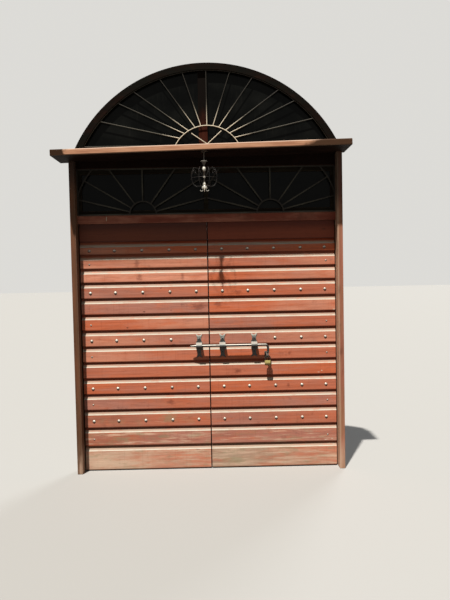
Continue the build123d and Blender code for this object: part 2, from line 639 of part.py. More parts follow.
def turned(profile):
    """A shape turned on the lantern's own axis."""
    return revolve(Plane.XZ * Polygon(*profile, align=None), Axis.Z)


def lantern_body():
    """Ceiling rose fitted to the sloping shelf, rod, disc and cone; then stem, ball, cup and curled feet."""
    ceiling = shelf_underside(LANTERN_X - ROSE_RADIUS) - LANTERN_TOP
    rose = ((0, ceiling + ROSE_NECK), (ROSE_RADIUS, ceiling + ROSE_NECK), (ROSE_RADIUS, ceiling - ROSE_RIM),
            (ROSE_RADIUS / 2, ceiling - ROSE_NECK), (ROD_ABOVE, ceiling - ROSE_NECK), (ROD_ABOVE, 0), (0, 0))
    place = Pos(LANTERN_X, LANTERN_Y, LANTERN_TOP)
    hanger = place * (turned(rose) + turned(((0, CONE_PROFILE[0][1]),) + CONE_PROFILE)) - canopy_shelf()
    stem = turned(STEM_PROFILE)
    foot = band((FOOT_REACH, FOOT_Z), FOOT_CURL, *FOOT_ARC, CAGE_BAR_THICKNESS)
    foot = prism_y(foot, -CAGE_BAR_WIDTH / 2, CAGE_BAR_WIDTH / 2)
    for step in range(FEET):
        stem += Rot(0, 0, 360 / FEET * step) * foot
    return Compound(children=[hanger, place * stem])


def lantern_bulb():
    """A candle bulb between the cone and the stem's holder."""
    low, high = BULB_PROFILE[0], BULB_PROFILE[-1]
    outline = make_face([Spline(*BULB_PROFILE), Polyline(high, (0, high[1]), (0, low[1]), low)])
    return Pos(LANTERN_X, LANTERN_Y, LANTERN_TOP) * revolve(Plane.XZ * outline, Axis.Z)


def lantern_cage():
    """Scrolled straps round the lamp, joined by a hoop and standing on the stem's cup."""
    centre = (CAGE_RADIUS - CAGE_BELLY, CAGE_FLOOR + CAGE_BELLY)
    half = CAGE_BAR_THICKNESS / 2
    side = band(centre, CAGE_BELLY, -90, CAGE_OPENING, CAGE_BAR_THICKNESS)
    side += rectangle(CAGE_FOOT_RADIUS, centre[0], CAGE_FLOOR - half, CAGE_FLOOR + half)
    turn, reach = radians(CAGE_OPENING), CAGE_BELLY + CAGE_SCROLL
    scroll = (centre[0] + reach * cos(turn), centre[1] + reach * sin(turn))
    start = CAGE_OPENING - 180
    side += band(scroll, CAGE_SCROLL, start, start - CAGE_SCROLL_TURN, CAGE_BAR_THICKNESS)
    strap = prism_y(side, -CAGE_BAR_WIDTH / 2, CAGE_BAR_WIDTH / 2)
    hoop = Cylinder(CAGE_RADIUS + HOOP_THICKNESS / 2, HOOP_HEIGHT)
    cage = Pos(0, 0, centre[1]) * (hoop - Cylinder(CAGE_RADIUS - HOOP_THICKNESS / 2, 2 * HOOP_HEIGHT))
    for step in range(CAGE_BARS):
        cage += Rot(0, 0, 360 / CAGE_BARS * step) * strap
    return Pos(LANTERN_X, LANTERN_Y, LANTERN_TOP) * cage


def save(name, shape):
    export_step(shape, f"parts/{name}.step")


def main():
    os.makedirs("parts", exist_ok=True)
    save("left_jamb", jamb(-1))
    save("right_jamb", jamb(1))
    save("transom_rail", transom_rail())
    save("head_beam", head_beam())
    save("canopy_shelf", canopy_shelf())

    sash, panes = transom_light()
    save("transom_sash", sash)
    save("transom_panes", panes)
    save("transom_grille_left", transom_grille(-1))
    save("transom_grille_right", transom_grille(1))

    save("arch_frame", arch_frame())
    save("fanlight_sill", fanlight_sill())
    save("fanlight_mullion", fanlight_mullion())
    save("fanlight_panes", Compound(children=fanlight_panes()))
    save("fanlight_grille", fanlight_grille())

    for number, board in enumerate(leaf_boards(), start=1):
        save(f"left_board_{number:02d}", board)
        save(f"right_board_{number:02d}", mirrored(board))
    lining = inner_lining()
    save("left_lining", lining)
    save("right_lining", mirrored(lining))
    save("left_studs", leaf_studs("left", -1))
    save("right_studs", leaf_studs("right", 1))

    straps = [hinge_strap(height) for height in HINGE_HEIGHTS]
    save("left_hinge_straps", Compound(children=straps))
    save("right_hinge_straps", Compound(children=[mirrored(strap) for strap in straps]))
    pintles = [pintle(height) for height in HINGE_HEIGHTS]
    save("hinge_pintles", Compound(children=pintles + [mirrored(piece) for piece in pintles]))

    save("bolt_rod", bolt_rod())
    save("bolt_keeper", bolt_strap(KEEPER_X))
    save("bolt_guides", Compound(children=[bolt_strap(x) for x in GUIDE_XS]))
    save("padlock_staple", padlock_staple())
    save("padlock_shackle", padlock_shackle())
    save("padlock_body", padlock_body())

    save("lantern_body", lantern_body())
    save("lantern_bulb", lantern_bulb())
    save("lantern_cage", lantern_cage())


main()
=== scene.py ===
"""Looks of the arched double door: materials, small trim, light and camera."""

import math
import random
from collections import namedtuple

import bmesh
import bpy
from mathutils import Matrix, Vector


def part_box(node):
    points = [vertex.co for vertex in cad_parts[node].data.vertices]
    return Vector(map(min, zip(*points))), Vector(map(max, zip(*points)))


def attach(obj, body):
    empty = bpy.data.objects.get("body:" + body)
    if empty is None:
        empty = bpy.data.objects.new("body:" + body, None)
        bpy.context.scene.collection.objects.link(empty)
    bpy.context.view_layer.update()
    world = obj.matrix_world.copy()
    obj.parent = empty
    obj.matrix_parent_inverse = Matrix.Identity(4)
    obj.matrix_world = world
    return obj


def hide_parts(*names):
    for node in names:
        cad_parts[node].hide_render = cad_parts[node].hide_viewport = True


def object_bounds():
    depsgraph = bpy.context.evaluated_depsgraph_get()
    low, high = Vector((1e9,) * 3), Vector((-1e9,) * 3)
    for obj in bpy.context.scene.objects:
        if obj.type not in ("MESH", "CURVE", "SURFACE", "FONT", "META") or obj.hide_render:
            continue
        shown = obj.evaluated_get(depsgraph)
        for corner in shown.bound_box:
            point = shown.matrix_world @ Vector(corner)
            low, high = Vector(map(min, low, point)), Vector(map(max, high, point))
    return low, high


# Camera
CAMERA_PLACE = (0.0767, -5.2514, 1.7057)
CAMERA_YAW = math.radians(0.716)
CAMERA_PITCH = math.radians(-2.528)
CAMERA_ROLL = math.radians(-1.108)
CAMERA_LENS = 36.36
CAMERA_SENSOR = 36.0

# Light
SUN_TRAVEL = (0.42, 1.0, -2.4)
SUN_STRENGTH = 6.2
SUN_ANGLE = math.radians(1.3)
SUN_COLOR = (1.0, 0.97, 0.92)
BACK_TRAVEL = (-0.5, -1.0, -0.55)
BACK_STRENGTH = 1.8
BACK_ANGLE = math.radians(20.0)
SKY_COLOR = (0.92, 0.96, 1.0, 1.0)
SKY_STRENGTH = 0.13
BACKDROP_COLOR = (0.72, 0.71, 0.68, 1.0)
FLOOR_COLOR = (0.36, 0.352, 0.335, 1.0)
FLOOR_BOUNCE_COLOR = (0.10, 0.097, 0.09, 1.0)
FLOOR_HALF = 60.0
FLOOR_CLEARANCE = 0.001

# Tones as they look in the sun, in eight-bit values
TONES = {
    "salmon": (216, 143, 114),
    "russet": (200, 117, 88),
    "orange": (212, 114, 76),
    "mauve": (188, 126, 107),
    "umber": (178, 113, 90),
    # The top boards' two dark tones are painted shade under the rail and shelf; the first also colours the
    # mullion's worn edges
    "dusk": (112, 60, 42),
    "dusk_red": (142, 72, 50),
    "tan": (228, 192, 164),
    "grey": (186, 158, 134),
    "cream": (198, 188, 170),
    "blush": (176, 152, 132),
    "coral": (236, 160, 130),
    "bark": (52, 30, 20),
    "left_post": (96, 66, 45),
    "left_post_worn": (116, 74, 50),
    "right_post": (166, 116, 88),
    "beige": (200, 172, 144),
    "rail": (132, 66, 48),
    "shelf": (212, 160, 126),
    "shelf_worn": (190, 136, 106),
    "shelf_line": (192, 168, 150),
    "shelf_dark": (88, 62, 45),
    # The next four tones are darkened as painted shade: the shelf's underside, the head beam, the arch and
    # sill, the transom sash
    "underside": (28, 17, 12),
    "beam": (28, 16, 11),
    "arch": (18, 17, 13),
    "sash": (30, 25, 19),
    "sash_worn": (46, 42, 32),
    "mullion": (66, 32, 22),
    # The mullion's tone high up is painted shade
    "mullion_dark": (16, 11, 8),
    "moss": (150, 140, 108),
    "lining": (160, 122, 88),
    "lining_red": (140, 92, 68),
    "steel": (208, 203, 190),
    "zinc": (150, 154, 148),
    "pitch": (36, 33, 31),
    "rust": (98, 56, 36),
    "brass": (208, 192, 120),
    "old_brass": (88, 64, 36),
    "bone": (220, 208, 184),
    "bar": (88, 85, 75),
    "dim_bar": (66, 62, 53),
    "soot": (52, 47, 41),
    "bulb": (244, 240, 226),
    # Black of the felt strips, painted shade in joints, key slot and high on the jambs
    "felt": (18, 14, 12),
}

# Conversion of display values to linear light
DISPLAY_STEPS = 255.0
CURVE_KNEE = 0.04045
CURVE_SLOPE = 12.92
CURVE_OFFSET = 0.055
CURVE_POWER = 2.4

# Shades that multiply the colour under them
SHADES = {
    "streak": (0.60, 0.50, 0.45, 1.0),
    "fibre": (0.62, 0.53, 0.48, 1.0),
    "smudge": (0.36, 0.33, 0.34, 1.0),
    "stain": (0.50, 0.45, 0.46, 1.0),
    "rain": (0.46, 0.38, 0.35, 1.0),
    # The next three are painted shade: along each board's lower edge, under the rail and on the slope under
    # each lap
    "drip": (0.22, 0.14, 0.10, 1.0),
    "gloom": (0.35, 0.28, 0.26, 1.0),
    "lap": (0.55, 0.42, 0.36, 1.0),
    "joint": (0.10, 0.08, 0.07, 1.0),
}

# Board looks from the top down: tone at the left end, tone at the right end, smudges, bleaching
LEFT_LOOKS = (
    # The top board's dark tones are painted shade
    ("dusk", "dusk", 0.25, 0.00),
    ("salmon", "orange", 0.10, 0.00),
    ("salmon", "salmon", 0.45, 0.08),
    ("coral", "coral", 0.25, 0.10),
    ("mauve", "russet", 0.35, 0.00),
    ("mauve", "mauve", 0.70, 0.05),
    ("orange", "salmon", 0.20, 0.00),
    ("salmon", "mauve", 0.35, 0.05),
    ("salmon", "russet", 0.20, 0.05),
    ("russet", "russet", 0.25, 0.00),
    ("orange", "russet", 0.20, 0.00),
    ("mauve", "russet", 0.50, 0.08),
    ("umber", "russet", 0.50, 0.24),
    ("umber", "mauve", 0.40, 0.50),
    ("tan", "salmon", 0.30, 0.62),
)
RIGHT_LOOKS = (
    # The top board's dark tones are painted shade
    ("dusk_red", "dusk_red", 0.25, 0.00),
    ("russet", "orange", 0.15, 0.00),
    ("russet", "salmon", 0.40, 0.05),
    ("orange", "salmon", 0.30, 0.00),
    ("orange", "russet", 0.45, 0.00),
    ("orange", "salmon", 0.35, 0.00),
    ("mauve", "russet", 0.45, 0.00),
    ("mauve", "salmon", 0.35, 0.05),
    ("orange", "russet", 0.35, 0.00),
    ("russet", "orange", 0.40, 0.00),
    ("orange", "russet", 0.40, 0.00),
    ("russet", "mauve", 0.35, 0.05),
    ("mauve", "russet", 0.45, 0.14),
    ("mauve", "mauve", 0.40, 0.48),
    ("grey", "salmon", 0.35, 0.60),
)
LEAF_LOOKS = (("left", LEFT_LOOKS, 3.0), ("right", RIGHT_LOOKS, 211.0))
SEED_STEP = 7.31

# Single marks on boards: place across, height, half width, half height, kind
MARKS = {
    # The first marks on left boards 3 and 4 are soft dark patches; the kind stain only says how they are
    # drawn
    "left_board_03": ((-0.613, 1.805, 0.034, 0.070, "stain"),),
    "left_board_04": ((-0.593, 1.690, 0.030, 0.060, "stain"), (-0.222, 1.684, 0.022, 0.045, "stain")),
    "left_board_05": ((-0.411, 1.587, 0.011, 0.007, "knot"),),
    "left_board_06": (
        (-0.560, 1.386, 0.014, 0.009, "knot"),
        (-0.327, 1.394, 0.016, 0.009, "stain"),
        (-0.090, 1.420, 0.085, 0.045, "stain"),
    ),
    "left_board_07": ((-0.708, 1.249, 0.012, 0.007, "knot"),),
    "left_board_12": ((-0.346, 0.591, 0.050, 0.030, "stain"),),
    "left_board_13": ((-0.358, 0.452, 0.090, 0.050, "algae"),),
    "left_board_14": ((-0.758, 0.274, 0.120, 0.030, "algae"), (-0.420, 0.290, 0.080, 0.022, "algae")),
    "right_board_05": ((0.252, 1.538, 0.040, 0.030, "stain"),),
    "right_board_06": ((0.082, 1.437, 0.050, 0.036, "stain"), (1.086, 1.3755, 0.012, 0.008, "chip")),
    "right_board_09": ((0.694, 0.999, 0.018, 0.026, "stain"),),
    "right_board_10": (
        (0.240, 0.854, 0.045, 0.026, "stain"),
        (0.951, 0.828, 0.018, 0.005, "chip"),
        (0.975, 0.842, 0.008, 0.006, "chip"),
    ),
    "right_board_11": ((0.682, 0.718, 0.020, 0.026, "stain"),),
    "right_board_14": ((1.060, 0.238, 0.016, 0.006, "chip"), (1.010, 0.232, 0.026, 0.005, "chip")),
    "right_board_15": (
        (0.194, 0.070, 0.140, 0.045, "algae"),
        (1.030, 0.196, 0.030, 0.005, "chip"),
        (1.075, 0.188, 0.016, 0.006, "chip"),
    ),
}

# What each kind of mark is made of: tone or shade, and amount
MARK_COVERS = {
    "stain": ("stain", 0.75), "knot": ("bark", 0.85), "algae": ("moss", 0.55), "chip": (("bone", 1.1), 1.0),
}

# A cloudy pattern: stretch by axis, place, size, detail and roughness of the clouds, and their bend
Cloud = namedtuple("Cloud", "stretch place size detail rough bend", defaults=(0.0,))

# Scattered points: stretch by axis and place
Cells = namedtuple("Cells", "stretch place")
CELL_SIZE = 1.0
CLOUD_MIDDLE = 0.5
SEED_SPREAD = (1.0, 1.7, 0.6)

# Edges: span of the match between the rounded and the flat normal
EDGE_SPAN = (0.985, 0.86)
BEVEL_SAMPLES = 4

# The size that leaves a distance in metres
EVEN = (1.0, 1.0)

# Ragged oval marks
SPOT_EDGE = Cloud((24.0, 1.0, 60.0), 0.0, 1.0, 5.0, 0.66)
SPOT_RAGGED = 2.4
SPOT_SPAN = (1.05, 0.10)

# A finish: patterns and shares of its relief, the relief's strength, depth and edge radius, the
# pattern of its roughness with gain and base, how metallic it is, how much light it throws back
FINISH_PARTS = "relief strength depth radius pattern gain base metallic shine"
Finish = namedtuple("Finish", FINISH_PARTS, defaults=(0.0, 0.5))
WOOD_SHINE = 0.2
SHADED_SHINE = 0.03
GLASS_SHINE = 0.06
WOOD_RELIEF = (("streaks", 0.7), ("fibres", 0.5))
METAL_RELIEF = (("skin", 1.0), ("patches", 1.0))
BOARD_FINISH = Finish(WOOD_RELIEF, 0.5, 0.0016, 0.0016, "streaks", 0.30, 0.42, 0.0, WOOD_SHINE)
LIT_FINISH = Finish(WOOD_RELIEF, 0.6, 0.0016, 0.0016, "streaks", 0.28, 0.48, 0.0, WOOD_SHINE)
SHADED_FINISH = Finish(WOOD_RELIEF, 0.6, 0.0016, 0.0016, "streaks", 0.28, 0.48, 0.0, SHADED_SHINE)
SHELF_FINISH = Finish(WOOD_RELIEF, 0.7, 0.0016, 0.0016, "streaks", 0.25, 0.52, 0.0, SHADED_SHINE)
MULLION_FINISH = Finish(WOOD_RELIEF, 0.6, 0.0016, 0.0016, "streaks", 0.28, 0.50, 0.0, SHADED_SHINE)
LINING_FINISH = Finish(WOOD_RELIEF, 0.7, 0.0016, 0.0016, "streaks", 0.25, 0.60, 0.0, WOOD_SHINE)
FLOOR_FINISH = Finish((), 0.0, 0.0, 0.0, None, 0.0, 0.95, 0.0, SHADED_SHINE)

# How a look is written. Its values are across, depth and height in metres, up for how far the
# surface faces up, distance from its centre where it has one, its patterns, its steps, and its
# fields, which each material fills in.
# A mask is a value with the numbers where it starts and where it is full, "rim" with a radius for
# worn edges, "spot" for a single mark, or a name. A layer is a tone or shade, its amount and its
# masks. A tone may have a gain, and two tones with a mask are a blend. A step names either a value
# that wavers with a pattern by a reach round a middle, or the largest of products of an amount and
# masks. A coat is a colour with layers of its own.
Look = namedtuple("Look", "fields patterns steps base layers finish")
Coat = namedtuple("Coat", "base layers")

# Wood grain by the axis that it runs along, as darkening, and as places that are rubbed
GRAIN = {
    axis: {
        "streaks": Cloud(streaks, 0.0, 1.3, 6.0, 0.62, 0.7),
        "fibres": Cloud(fibres, 0.0, 2.0, 3.0, 0.60),
    }
    for axis, streaks, fibres in (
        ("X", (0.9, 26.0, 26.0), (5.0, 150.0, 150.0)),
        ("Z", (26.0, 26.0, 0.9), (150.0, 150.0, 5.0)),
    )
}
STREAKED = ("streaks", 0.60, 0.34)
FIBROUS = ("fibre", 0.40, ("fibres", 0.52, 0.34))
BOARD_GRAIN = (("streak", 0.42, STREAKED), FIBROUS)
FRAME_GRAIN = (("streak", 0.5, STREAKED), FIBROUS)
SHELF_GRAIN = (("streak", 0.4, STREAKED), FIBROUS)
ROUGH_GRAIN = (("streak", 0.6, STREAKED), FIBROUS)
WOOD_RUB = (("rim", 0.004), ("streaks", 0.34, 0.58))
FRAME_RUB = (("rim", 0.004), ("streaks", 0.30, 0.55))

# Boards: weathering of the stain, then single marks, the dark lower edge and what lies under the lap
BOARD_PATTERNS = {
    **GRAIN["X"],
    "wander": Cloud((2.6, 1.0, 9.0), 0.0, 1.4, 4.0, 0.60),
    "orange_drift": Cloud((3.4, 1.0, 14.0), 3.1, 1.5, 5.0, 0.62),
    "mauve_drift": Cloud((1.8, 1.0, 16.0), 5.7, 1.7, 5.0, 0.60),
    "smears": Cloud((5.5, 1.0, 9.0), 11.0, 1.6, 5.0, 0.66),
    "bare": Cloud((2.2, 1.0, 24.0), 17.0, 1.8, 6.0, 0.66),
    "algae": Cloud((4.0, 1.0, 12.0), 23.0, 1.6, 5.0, 0.62),
    "cells": Cells((2.4, 1.0, 6.5), 2.0),
    "runs": Cloud((70.0, 1.0, 2.0), 0.0, 1.2, 3.0, 0.50),
    "dust": Cloud((9.0, 1.0, 40.0), 29.0, 1.5, 4.0, 0.60),
}
BOARD_STEPS = (
    ("run", (1.0, "ends")),
    ("run", "run", "wander", 1.7),
    ("kept", (0.6,), (1.0, ("dust", 0.26, 0.52))),
)
BOARD_BASE = ("first", "second", ("run", 0.05, 0.95))
DRIFT_LAYERS = (
    ("orange", 0.85, ("orange_drift", 0.44, 0.80)),
    (("mauve", 1.08), 0.85, ("mauve_drift", 0.44, 0.82)),
)
WEATHER_LAYERS = (
    *BOARD_GRAIN,
    ("smudge", "smudged", ("smears", 0.58, 0.76)),
    ("tan", "bared", "bare_wood"),
    ("moss", "greened", ("algae", 0.50, 0.70)),
    ("bark", 0.6, ("cells", 0.075, 0.02)),
    ("rain", 0.16, ("runs", 0.56, 0.72)),
    (("grey", 1.1), 0.45, ("height", 0.30, 0.01), ("bare", 0.35, 0.62)),
)
# Painted shade along the lower edge of each board's face
LOWER_EDGE_SHADE_LAYER = ("drip", 0.8, "low_edge")
# Painted shade under the transom rail, darkest along the top board's upper edge
RAIL_SHADE_LAYER = ("gloom", 1.0, ("height", 2.050, 2.135))
LAP_LAYERS = (
    # Pale dust on the slope and a cream band along the arris, which is also a painted highlight of the lit
    # edge
    ("blush", 0.9, "kept", "dust_start", "slope_end"),
    ("cream", "kept", "dust_start", "band_end"),
    # Painted shade on the slope under the lap of the board above
    ("lap", 1.0, "lap_shade"),
)
JOINT_LAYER = ("joint", 1.0, ("across", 0.0055, 0.0045), ("across", -0.0055, -0.0045))
LOW_EDGE = (0.0095, 0.0030)
BARE_SPAN = (0.66, 0.86)
BARE_SPAN_BLEACHED = (0.34, 0.30)
BARE_AMOUNT = 0.20
BARE_AMOUNT_BLEACHED = 1.2
ALGAE_BLEACHED = 0.9

# Dusty arris and slope along a board's top, with the cream arris band also a painted highlight and painted
# shade on the slope under the lap, measured down from the board above
LAP_BANDS = {
    "dust_start": (0.0468, 0.0448), "slope_end": (0.0190, 0.0250),
    "band_end": (0.0335, 0.0385), "lap_shade": (0.0270, 0.0180),
}

# Jambs: stained front, inner edge in painted light on the right jamb and painted shade on the left, splashed
# foot, painted shade high up under the shelf
POST = Look(
    ("main", "other", "inner", "inner_side", "sheltered"),
    {
        **GRAIN["Z"],
        "drift": Cloud((7.0, 7.0, 1.1), 4.0, 1.8, 5.0, 0.62),
        "dirt": Cloud((9.0, 9.0, 2.2), 9.0, 1.7, 6.0, 0.66),
    },
    (),
    ("main", "other", ("drift", 0.38, 0.66)),
    (
        *FRAME_GRAIN,
        # Inner edge: painted light on the right jamb, painted shade on the left
        ("inner", 0.55, "inner_side"),
        ("bark", 0.5, ("dirt", 0.54, 0.74)),
        ("tan", 0.6, ("height", 0.32, 0.02), ("drift", 0.30, 0.60)),
        ("beige", 0.6, *WOOD_RUB),
        # Painted shade high up under the shelf
        ("felt", 0.75, "sheltered"),
    ),
    LIT_FINISH,
)

# Frame timbers with worn edges and dirt
TIMBER = Look(
    ("main", "other", "grime", "wear", "worn", "finish"),
    {
        **GRAIN["X"],
        "drift": Cloud((1.4, 6.0, 6.0), 4.0, 1.6, 5.0, 0.62),
        "dirt": Cloud((4.0, 4.0, 4.0), 9.0, 1.5, 6.0, 0.66),
    },
    (),
    ("main", "other", ("drift", 0.40, 0.66)),
    (
        *FRAME_GRAIN,
        ("bark", "grime", ("dirt", 0.52, 0.72)),
        ("wear", "worn", *FRAME_RUB),
        ("grey", 0.55, ("up", 0.5, 0.9)),
    ),
    "finish",
)

# Canopy shelf: bleached front with a painted highlight along its top arris and painted shade along its lower
# edge, a rough dark left end, a painted shadow across its right end, painted shade on its underside
SHELF_TOP = Coat((("shelf_dark", 1.3), ("grey", 0.42), ("drift", 0.36, 0.66)), ROUGH_GRAIN)
SHELF = Look(
    (),
    {
        **GRAIN["X"],
        "drift": Cloud((1.8, 4.0, 14.0), 2.0, 1.6, 5.0, 0.62),
        "crumbs": Cloud((14.0, 14.0, 14.0), -59.0, 1.0, 4.0, 0.55),
    },
    (
        ("level", "height", "across", -0.02095, 0.0),
        ("ragged", "across", "crumbs", 0.14),
        # The slanting edge of the painted shadow on the right end
        ("slanted", "ragged", "level", -2.6, 2.746),
    ),
    ("shelf", "shelf_worn", ("drift", 0.40, 0.64)),
    (
        *SHELF_GRAIN,
        # Painted highlight along the top arris
        ("shelf_line", 0.75, ("level", 2.7365, 2.7400)),
        # Painted shade along the lower edge of the front
        ("underside", 0.9, ("level", 2.7065, 2.7020)),
        (("shelf_dark", 0.45), 1.0, ("ragged", -1.08, -1.13)),
        # Painted shadow with a slanting edge across the right end
        (("shelf_dark", 0.5), 0.95, ("slanted", 0.86, 0.96)),
        # Painted shade on the underside behind the front
        ("underside", 1.0, ("depth", -0.345, -0.335), ("level", 2.735, 2.725)),
        (SHELF_TOP, 0.9, ("up", 0.8, 0.97)),
        ("grey", 0.35, *WOOD_RUB),
        # Painted shade on faces that look down
        ((("underside", 0.6), ("underside", 1.1), ("drift", 0.40, 0.64)), 1.0, ("up", -0.60, -0.95)),
    ),
    SHELF_FINISH,
)

# Fanlight mullion: red stain low down, darkening to nearly black under the arch as painted shade
MULLION = Look(
    (),
    {**GRAIN["Z"], "drift": Cloud((9.0, 9.0, 2.4), 1.0, 1.6, 5.0, 0.62)},
    (("level", "height", "drift", 0.3),),
    ("mullion", "mullion_dark", ("level", 2.92, 3.16)),
    (*FRAME_GRAIN, ("dusk", 0.2, *WOOD_RUB)),
    MULLION_FINISH,
)

# Bare planks of the back, each with its own shade
LINING_PLANKS = 5
LINING_PITCH = 0.219
LINING = Look(
    (),
    {
        **GRAIN["Z"],
        "planks": Cloud((1.0 / LINING_PITCH, 0.1, 0.25), 0.0, 1.0, 1.0, 0.40),
        "dirt": Cloud((5.0, 5.0, 2.0), 9.0, 1.7, 6.0, 0.66),
    },
    (),
    ("lining", "lining_red", ("planks", 0.36, 0.64)),
    (*ROUGH_GRAIN, ("bark", 0.5, ("dirt", 0.52, 0.72)), ("grey", 0.5, ("height", 0.35, 0.02))),
    LINING_FINISH,
)

# Glass painted nearly black and opaque, as painted shade of what lies behind it, with a thin film of dust
GLASS = Look(
    (),
    {
        "film": Cloud((1.6, 1.0, 2.4), 0.0, 1.6, 6.0, 0.60),
        "drips": Cloud((38.0, 1.0, 3.0), 0.0, 1.3, 4.0, 0.60),
        "wave": Cloud((3.0, 1.0, 3.0), 5.0, 1.4, 2.0, 0.40),
    },
    (),
    ((0.0016, 0.0018, 0.0016, 1.0), (0.0065, 0.0068, 0.0058, 1.0), ("film", 0.40, 0.72)),
    (((0.014, 0.0135, 0.011, 1.0), 0.4, ("drips", 0.56, 0.74)),),
    Finish((("wave", 1.0),), 0.25, 0.003, 0.0016, "film", 0.30, 0.04, 0.0, GLASS_SHINE),
)

# Forged or cast iron: worn edges, rust in patches, dust on top
IRON = Look(
    ("main", "worn", "rusted", "base", "metallic", "dusty"),
    {
        "skin": Cloud((60.0, 60.0, 60.0), 0.0, 1.4, 5.0, 0.60),
        "patches": Cloud((22.0, 22.0, 22.0), 3.0, 1.5, 6.0, 0.66),
    },
    (),
    (("main", 0.8), ("main", 1.15), ("skin", 0.36, 0.66)),
    (
        ("rust", "rusted", ("patches", 0.52, 0.68)),
        ("worn", 0.8, ("rim", 0.0022), ("skin", 0.34, 0.56)),
        ("cream", "dusty", ("up", 0.55, 0.95)),
    ),
    Finish((("skin", 1.0), ("patches", 0.6)), 0.35, 0.0007, 0.0008, "patches", 0.3, "base", "metallic"),
)

# Hammered stud: painted highlight on the dome's upper half, painted shade on its lower half, single rusty
# ones, grime and painted shade round its foot
STUD = Look(
    (),
    {
        "skin": Cloud((90.0, 90.0, 90.0), 0.0, 1.5, 5.0, 0.60),
        "rusty": Cloud((2.3, 1.0, 2.9), 3.0, 1.0, 2.0, 0.50),
    },
    (),
    # Painted highlight on faces that look up, painted shade on faces that look down
    (("bark", 1.6), ("cream", ("steel", 1.15), ("skin", 0.34, 0.66)), ("up", -0.35, 0.30)),
    (("rust", 0.40, ("rusty", 0.50, 0.66)), (("soot", 0.6), 0.85, ("depth", -0.0032, -0.0004))),
    Finish((("skin", 1.0),), 0.5, 0.0009, 0.0006, "skin", 0.25, 0.30, 0.25),
)

# Bolt strap: zinc above the rod, painted shade of the rod below it, black nail heads, a darker loop round the
# rod with a painted highlight on top and painted shade beneath
STRAP = Look(
    (),
    {
        "skin": Cloud((70.0, 70.0, 70.0), 0.0, 1.5, 5.0, 0.60),
        "patches": Cloud((26.0, 26.0, 26.0), 3.0, 1.5, 6.0, 0.66),
    },
    (
        ("level", "height", "skin", 0.03),
        ("upper", (1.0, ("level", 1.075, 1.100))),
        ("loop", (1.0, ("depth", -0.010, -0.022))),
        ("off_rod", (1.0, ("level", 1.118, 1.126)), (1.0, ("level", 1.048, 1.040))),
    ),
    (
        # Dark below the rod as painted shade, zinc above it
        (("pitch", 1.1), "soot", ("skin", 0.40, 0.66)),
        (("zinc", 0.5), "zinc", ("skin", 0.40, 0.66)),
        "upper",
    ),
    (
        (("steel", 1.1), 0.85, ("level", 1.156, 1.170)),
        (("pitch", 0.8), 0.9, ("level", 1.102, 1.112), ("level", 1.146, 1.132)),
        (("pitch", 0.7), "off_rod", ("depth", -0.0054, -0.0062)),
        (("zinc", 0.30), 0.85, "loop"),
        # Painted highlight on the loop's top and painted shade under it
        (("steel", 0.7), "loop", ("up", 0.62, 0.97)),
        ("pitch", 0.9, ("up", -0.05, -0.5), "loop"),
        (("rust", 0.8), 0.35, ("patches", 0.54, 0.70)),
        ("steel", 0.7, ("rim", 0.002), ("skin", 0.34, 0.56), "upper"),
    ),
    Finish(METAL_RELIEF, 0.4, 0.0008, 0.0008, "patches", 0.3, 0.30, 0.3),
)

# Bolt rod: painted highlight along its top, painted shade along its underside, and dark from its bend on
ROD = Look(
    (),
    {
        "skin": Cloud((14.0, 70.0, 70.0), 19.0, 1.5, 5.0, 0.60),
        "patches": Cloud((18.0, 30.0, 30.0), 22.0, 1.5, 6.0, 0.66),
    },
    (("bent", (1.0, ("height", 1.080, 1.066)), (1.0, ("across", 0.486, 0.500))),),
    # Painted highlight along the top, painted shade underneath
    (("pitch", 0.5), ("steel", 1.05), ("up", 0.36, 0.74)),
    (
        ("rust", 0.4, ("patches", 0.52, 0.68)),
        ((("pitch", 0.8), ("zinc", 0.6), ("skin", 0.50, 0.75)), "bent"),
    ),
    Finish(METAL_RELIEF, 0.3, 0.0006, 0.0008, "patches", 0.3, 0.32, 0.2),
)

# Old bronze-black lantern with painted highlights on its feet, beads and disc
LANTERN = Look(
    (),
    {
        "skin": Cloud((80.0, 80.0, 80.0), 27.0, 1.4, 5.0, 0.60),
        "spots": Cloud((45.0, 45.0, 30.0), 31.0, 1.6, 5.0, 0.66),
    },
    # Painted highlights on the feet, beads and disc
    ((
        "polished",
        (1.0, ("height", 2.452, 2.442)),
        (0.6, ("height", 2.476, 2.480), ("height", 2.500, 2.494)),
        (0.3, ("height", 2.606, 2.611), ("height", 2.628, 2.622)),
    ),),
    ("pitch", ("soot", 1.2), ("skin", 0.36, 0.66)),
    (("old_brass", 0.6, ("spots", 0.48, 0.64)), (("steel", 1.2), "polished")),
    Finish((("skin", 1.0),), 0.3, 0.0006, 0.0008, "spots", 0.25, 0.16, 0.35),
)

# Painted bars that change tone with distance from the hub and darken high up, with sooty patches; on the fan
# grille the darkening further out and high up is painted shade
GRILLE = Look(
    ("centre", "near", "middle", "far", "inner_ring", "outer_ring"),
    {
        "skin": Cloud((45.0, 45.0, 45.0), 0.0, 1.5, 5.0, 0.60),
        "patches": Cloud((16.0, 16.0, 16.0), 3.0, 1.5, 6.0, 0.66),
    },
    (("distance", "distance", "skin", 0.16),),
    ("near", "middle", "inner_ring"),
    (
        ("far", 1.0, "outer_ring"),
        # Painted shade high up
        (("soot", 0.6), 0.9, ("height", 2.98, 3.22)),
        ("soot", 0.4, ("patches", 0.54, 0.70)),
    ),
    Finish((("skin", 1.0),), 0.4, 0.0007, 0.0010, "skin", 0.3, 0.45, 0.1, WOOD_SHINE),
)

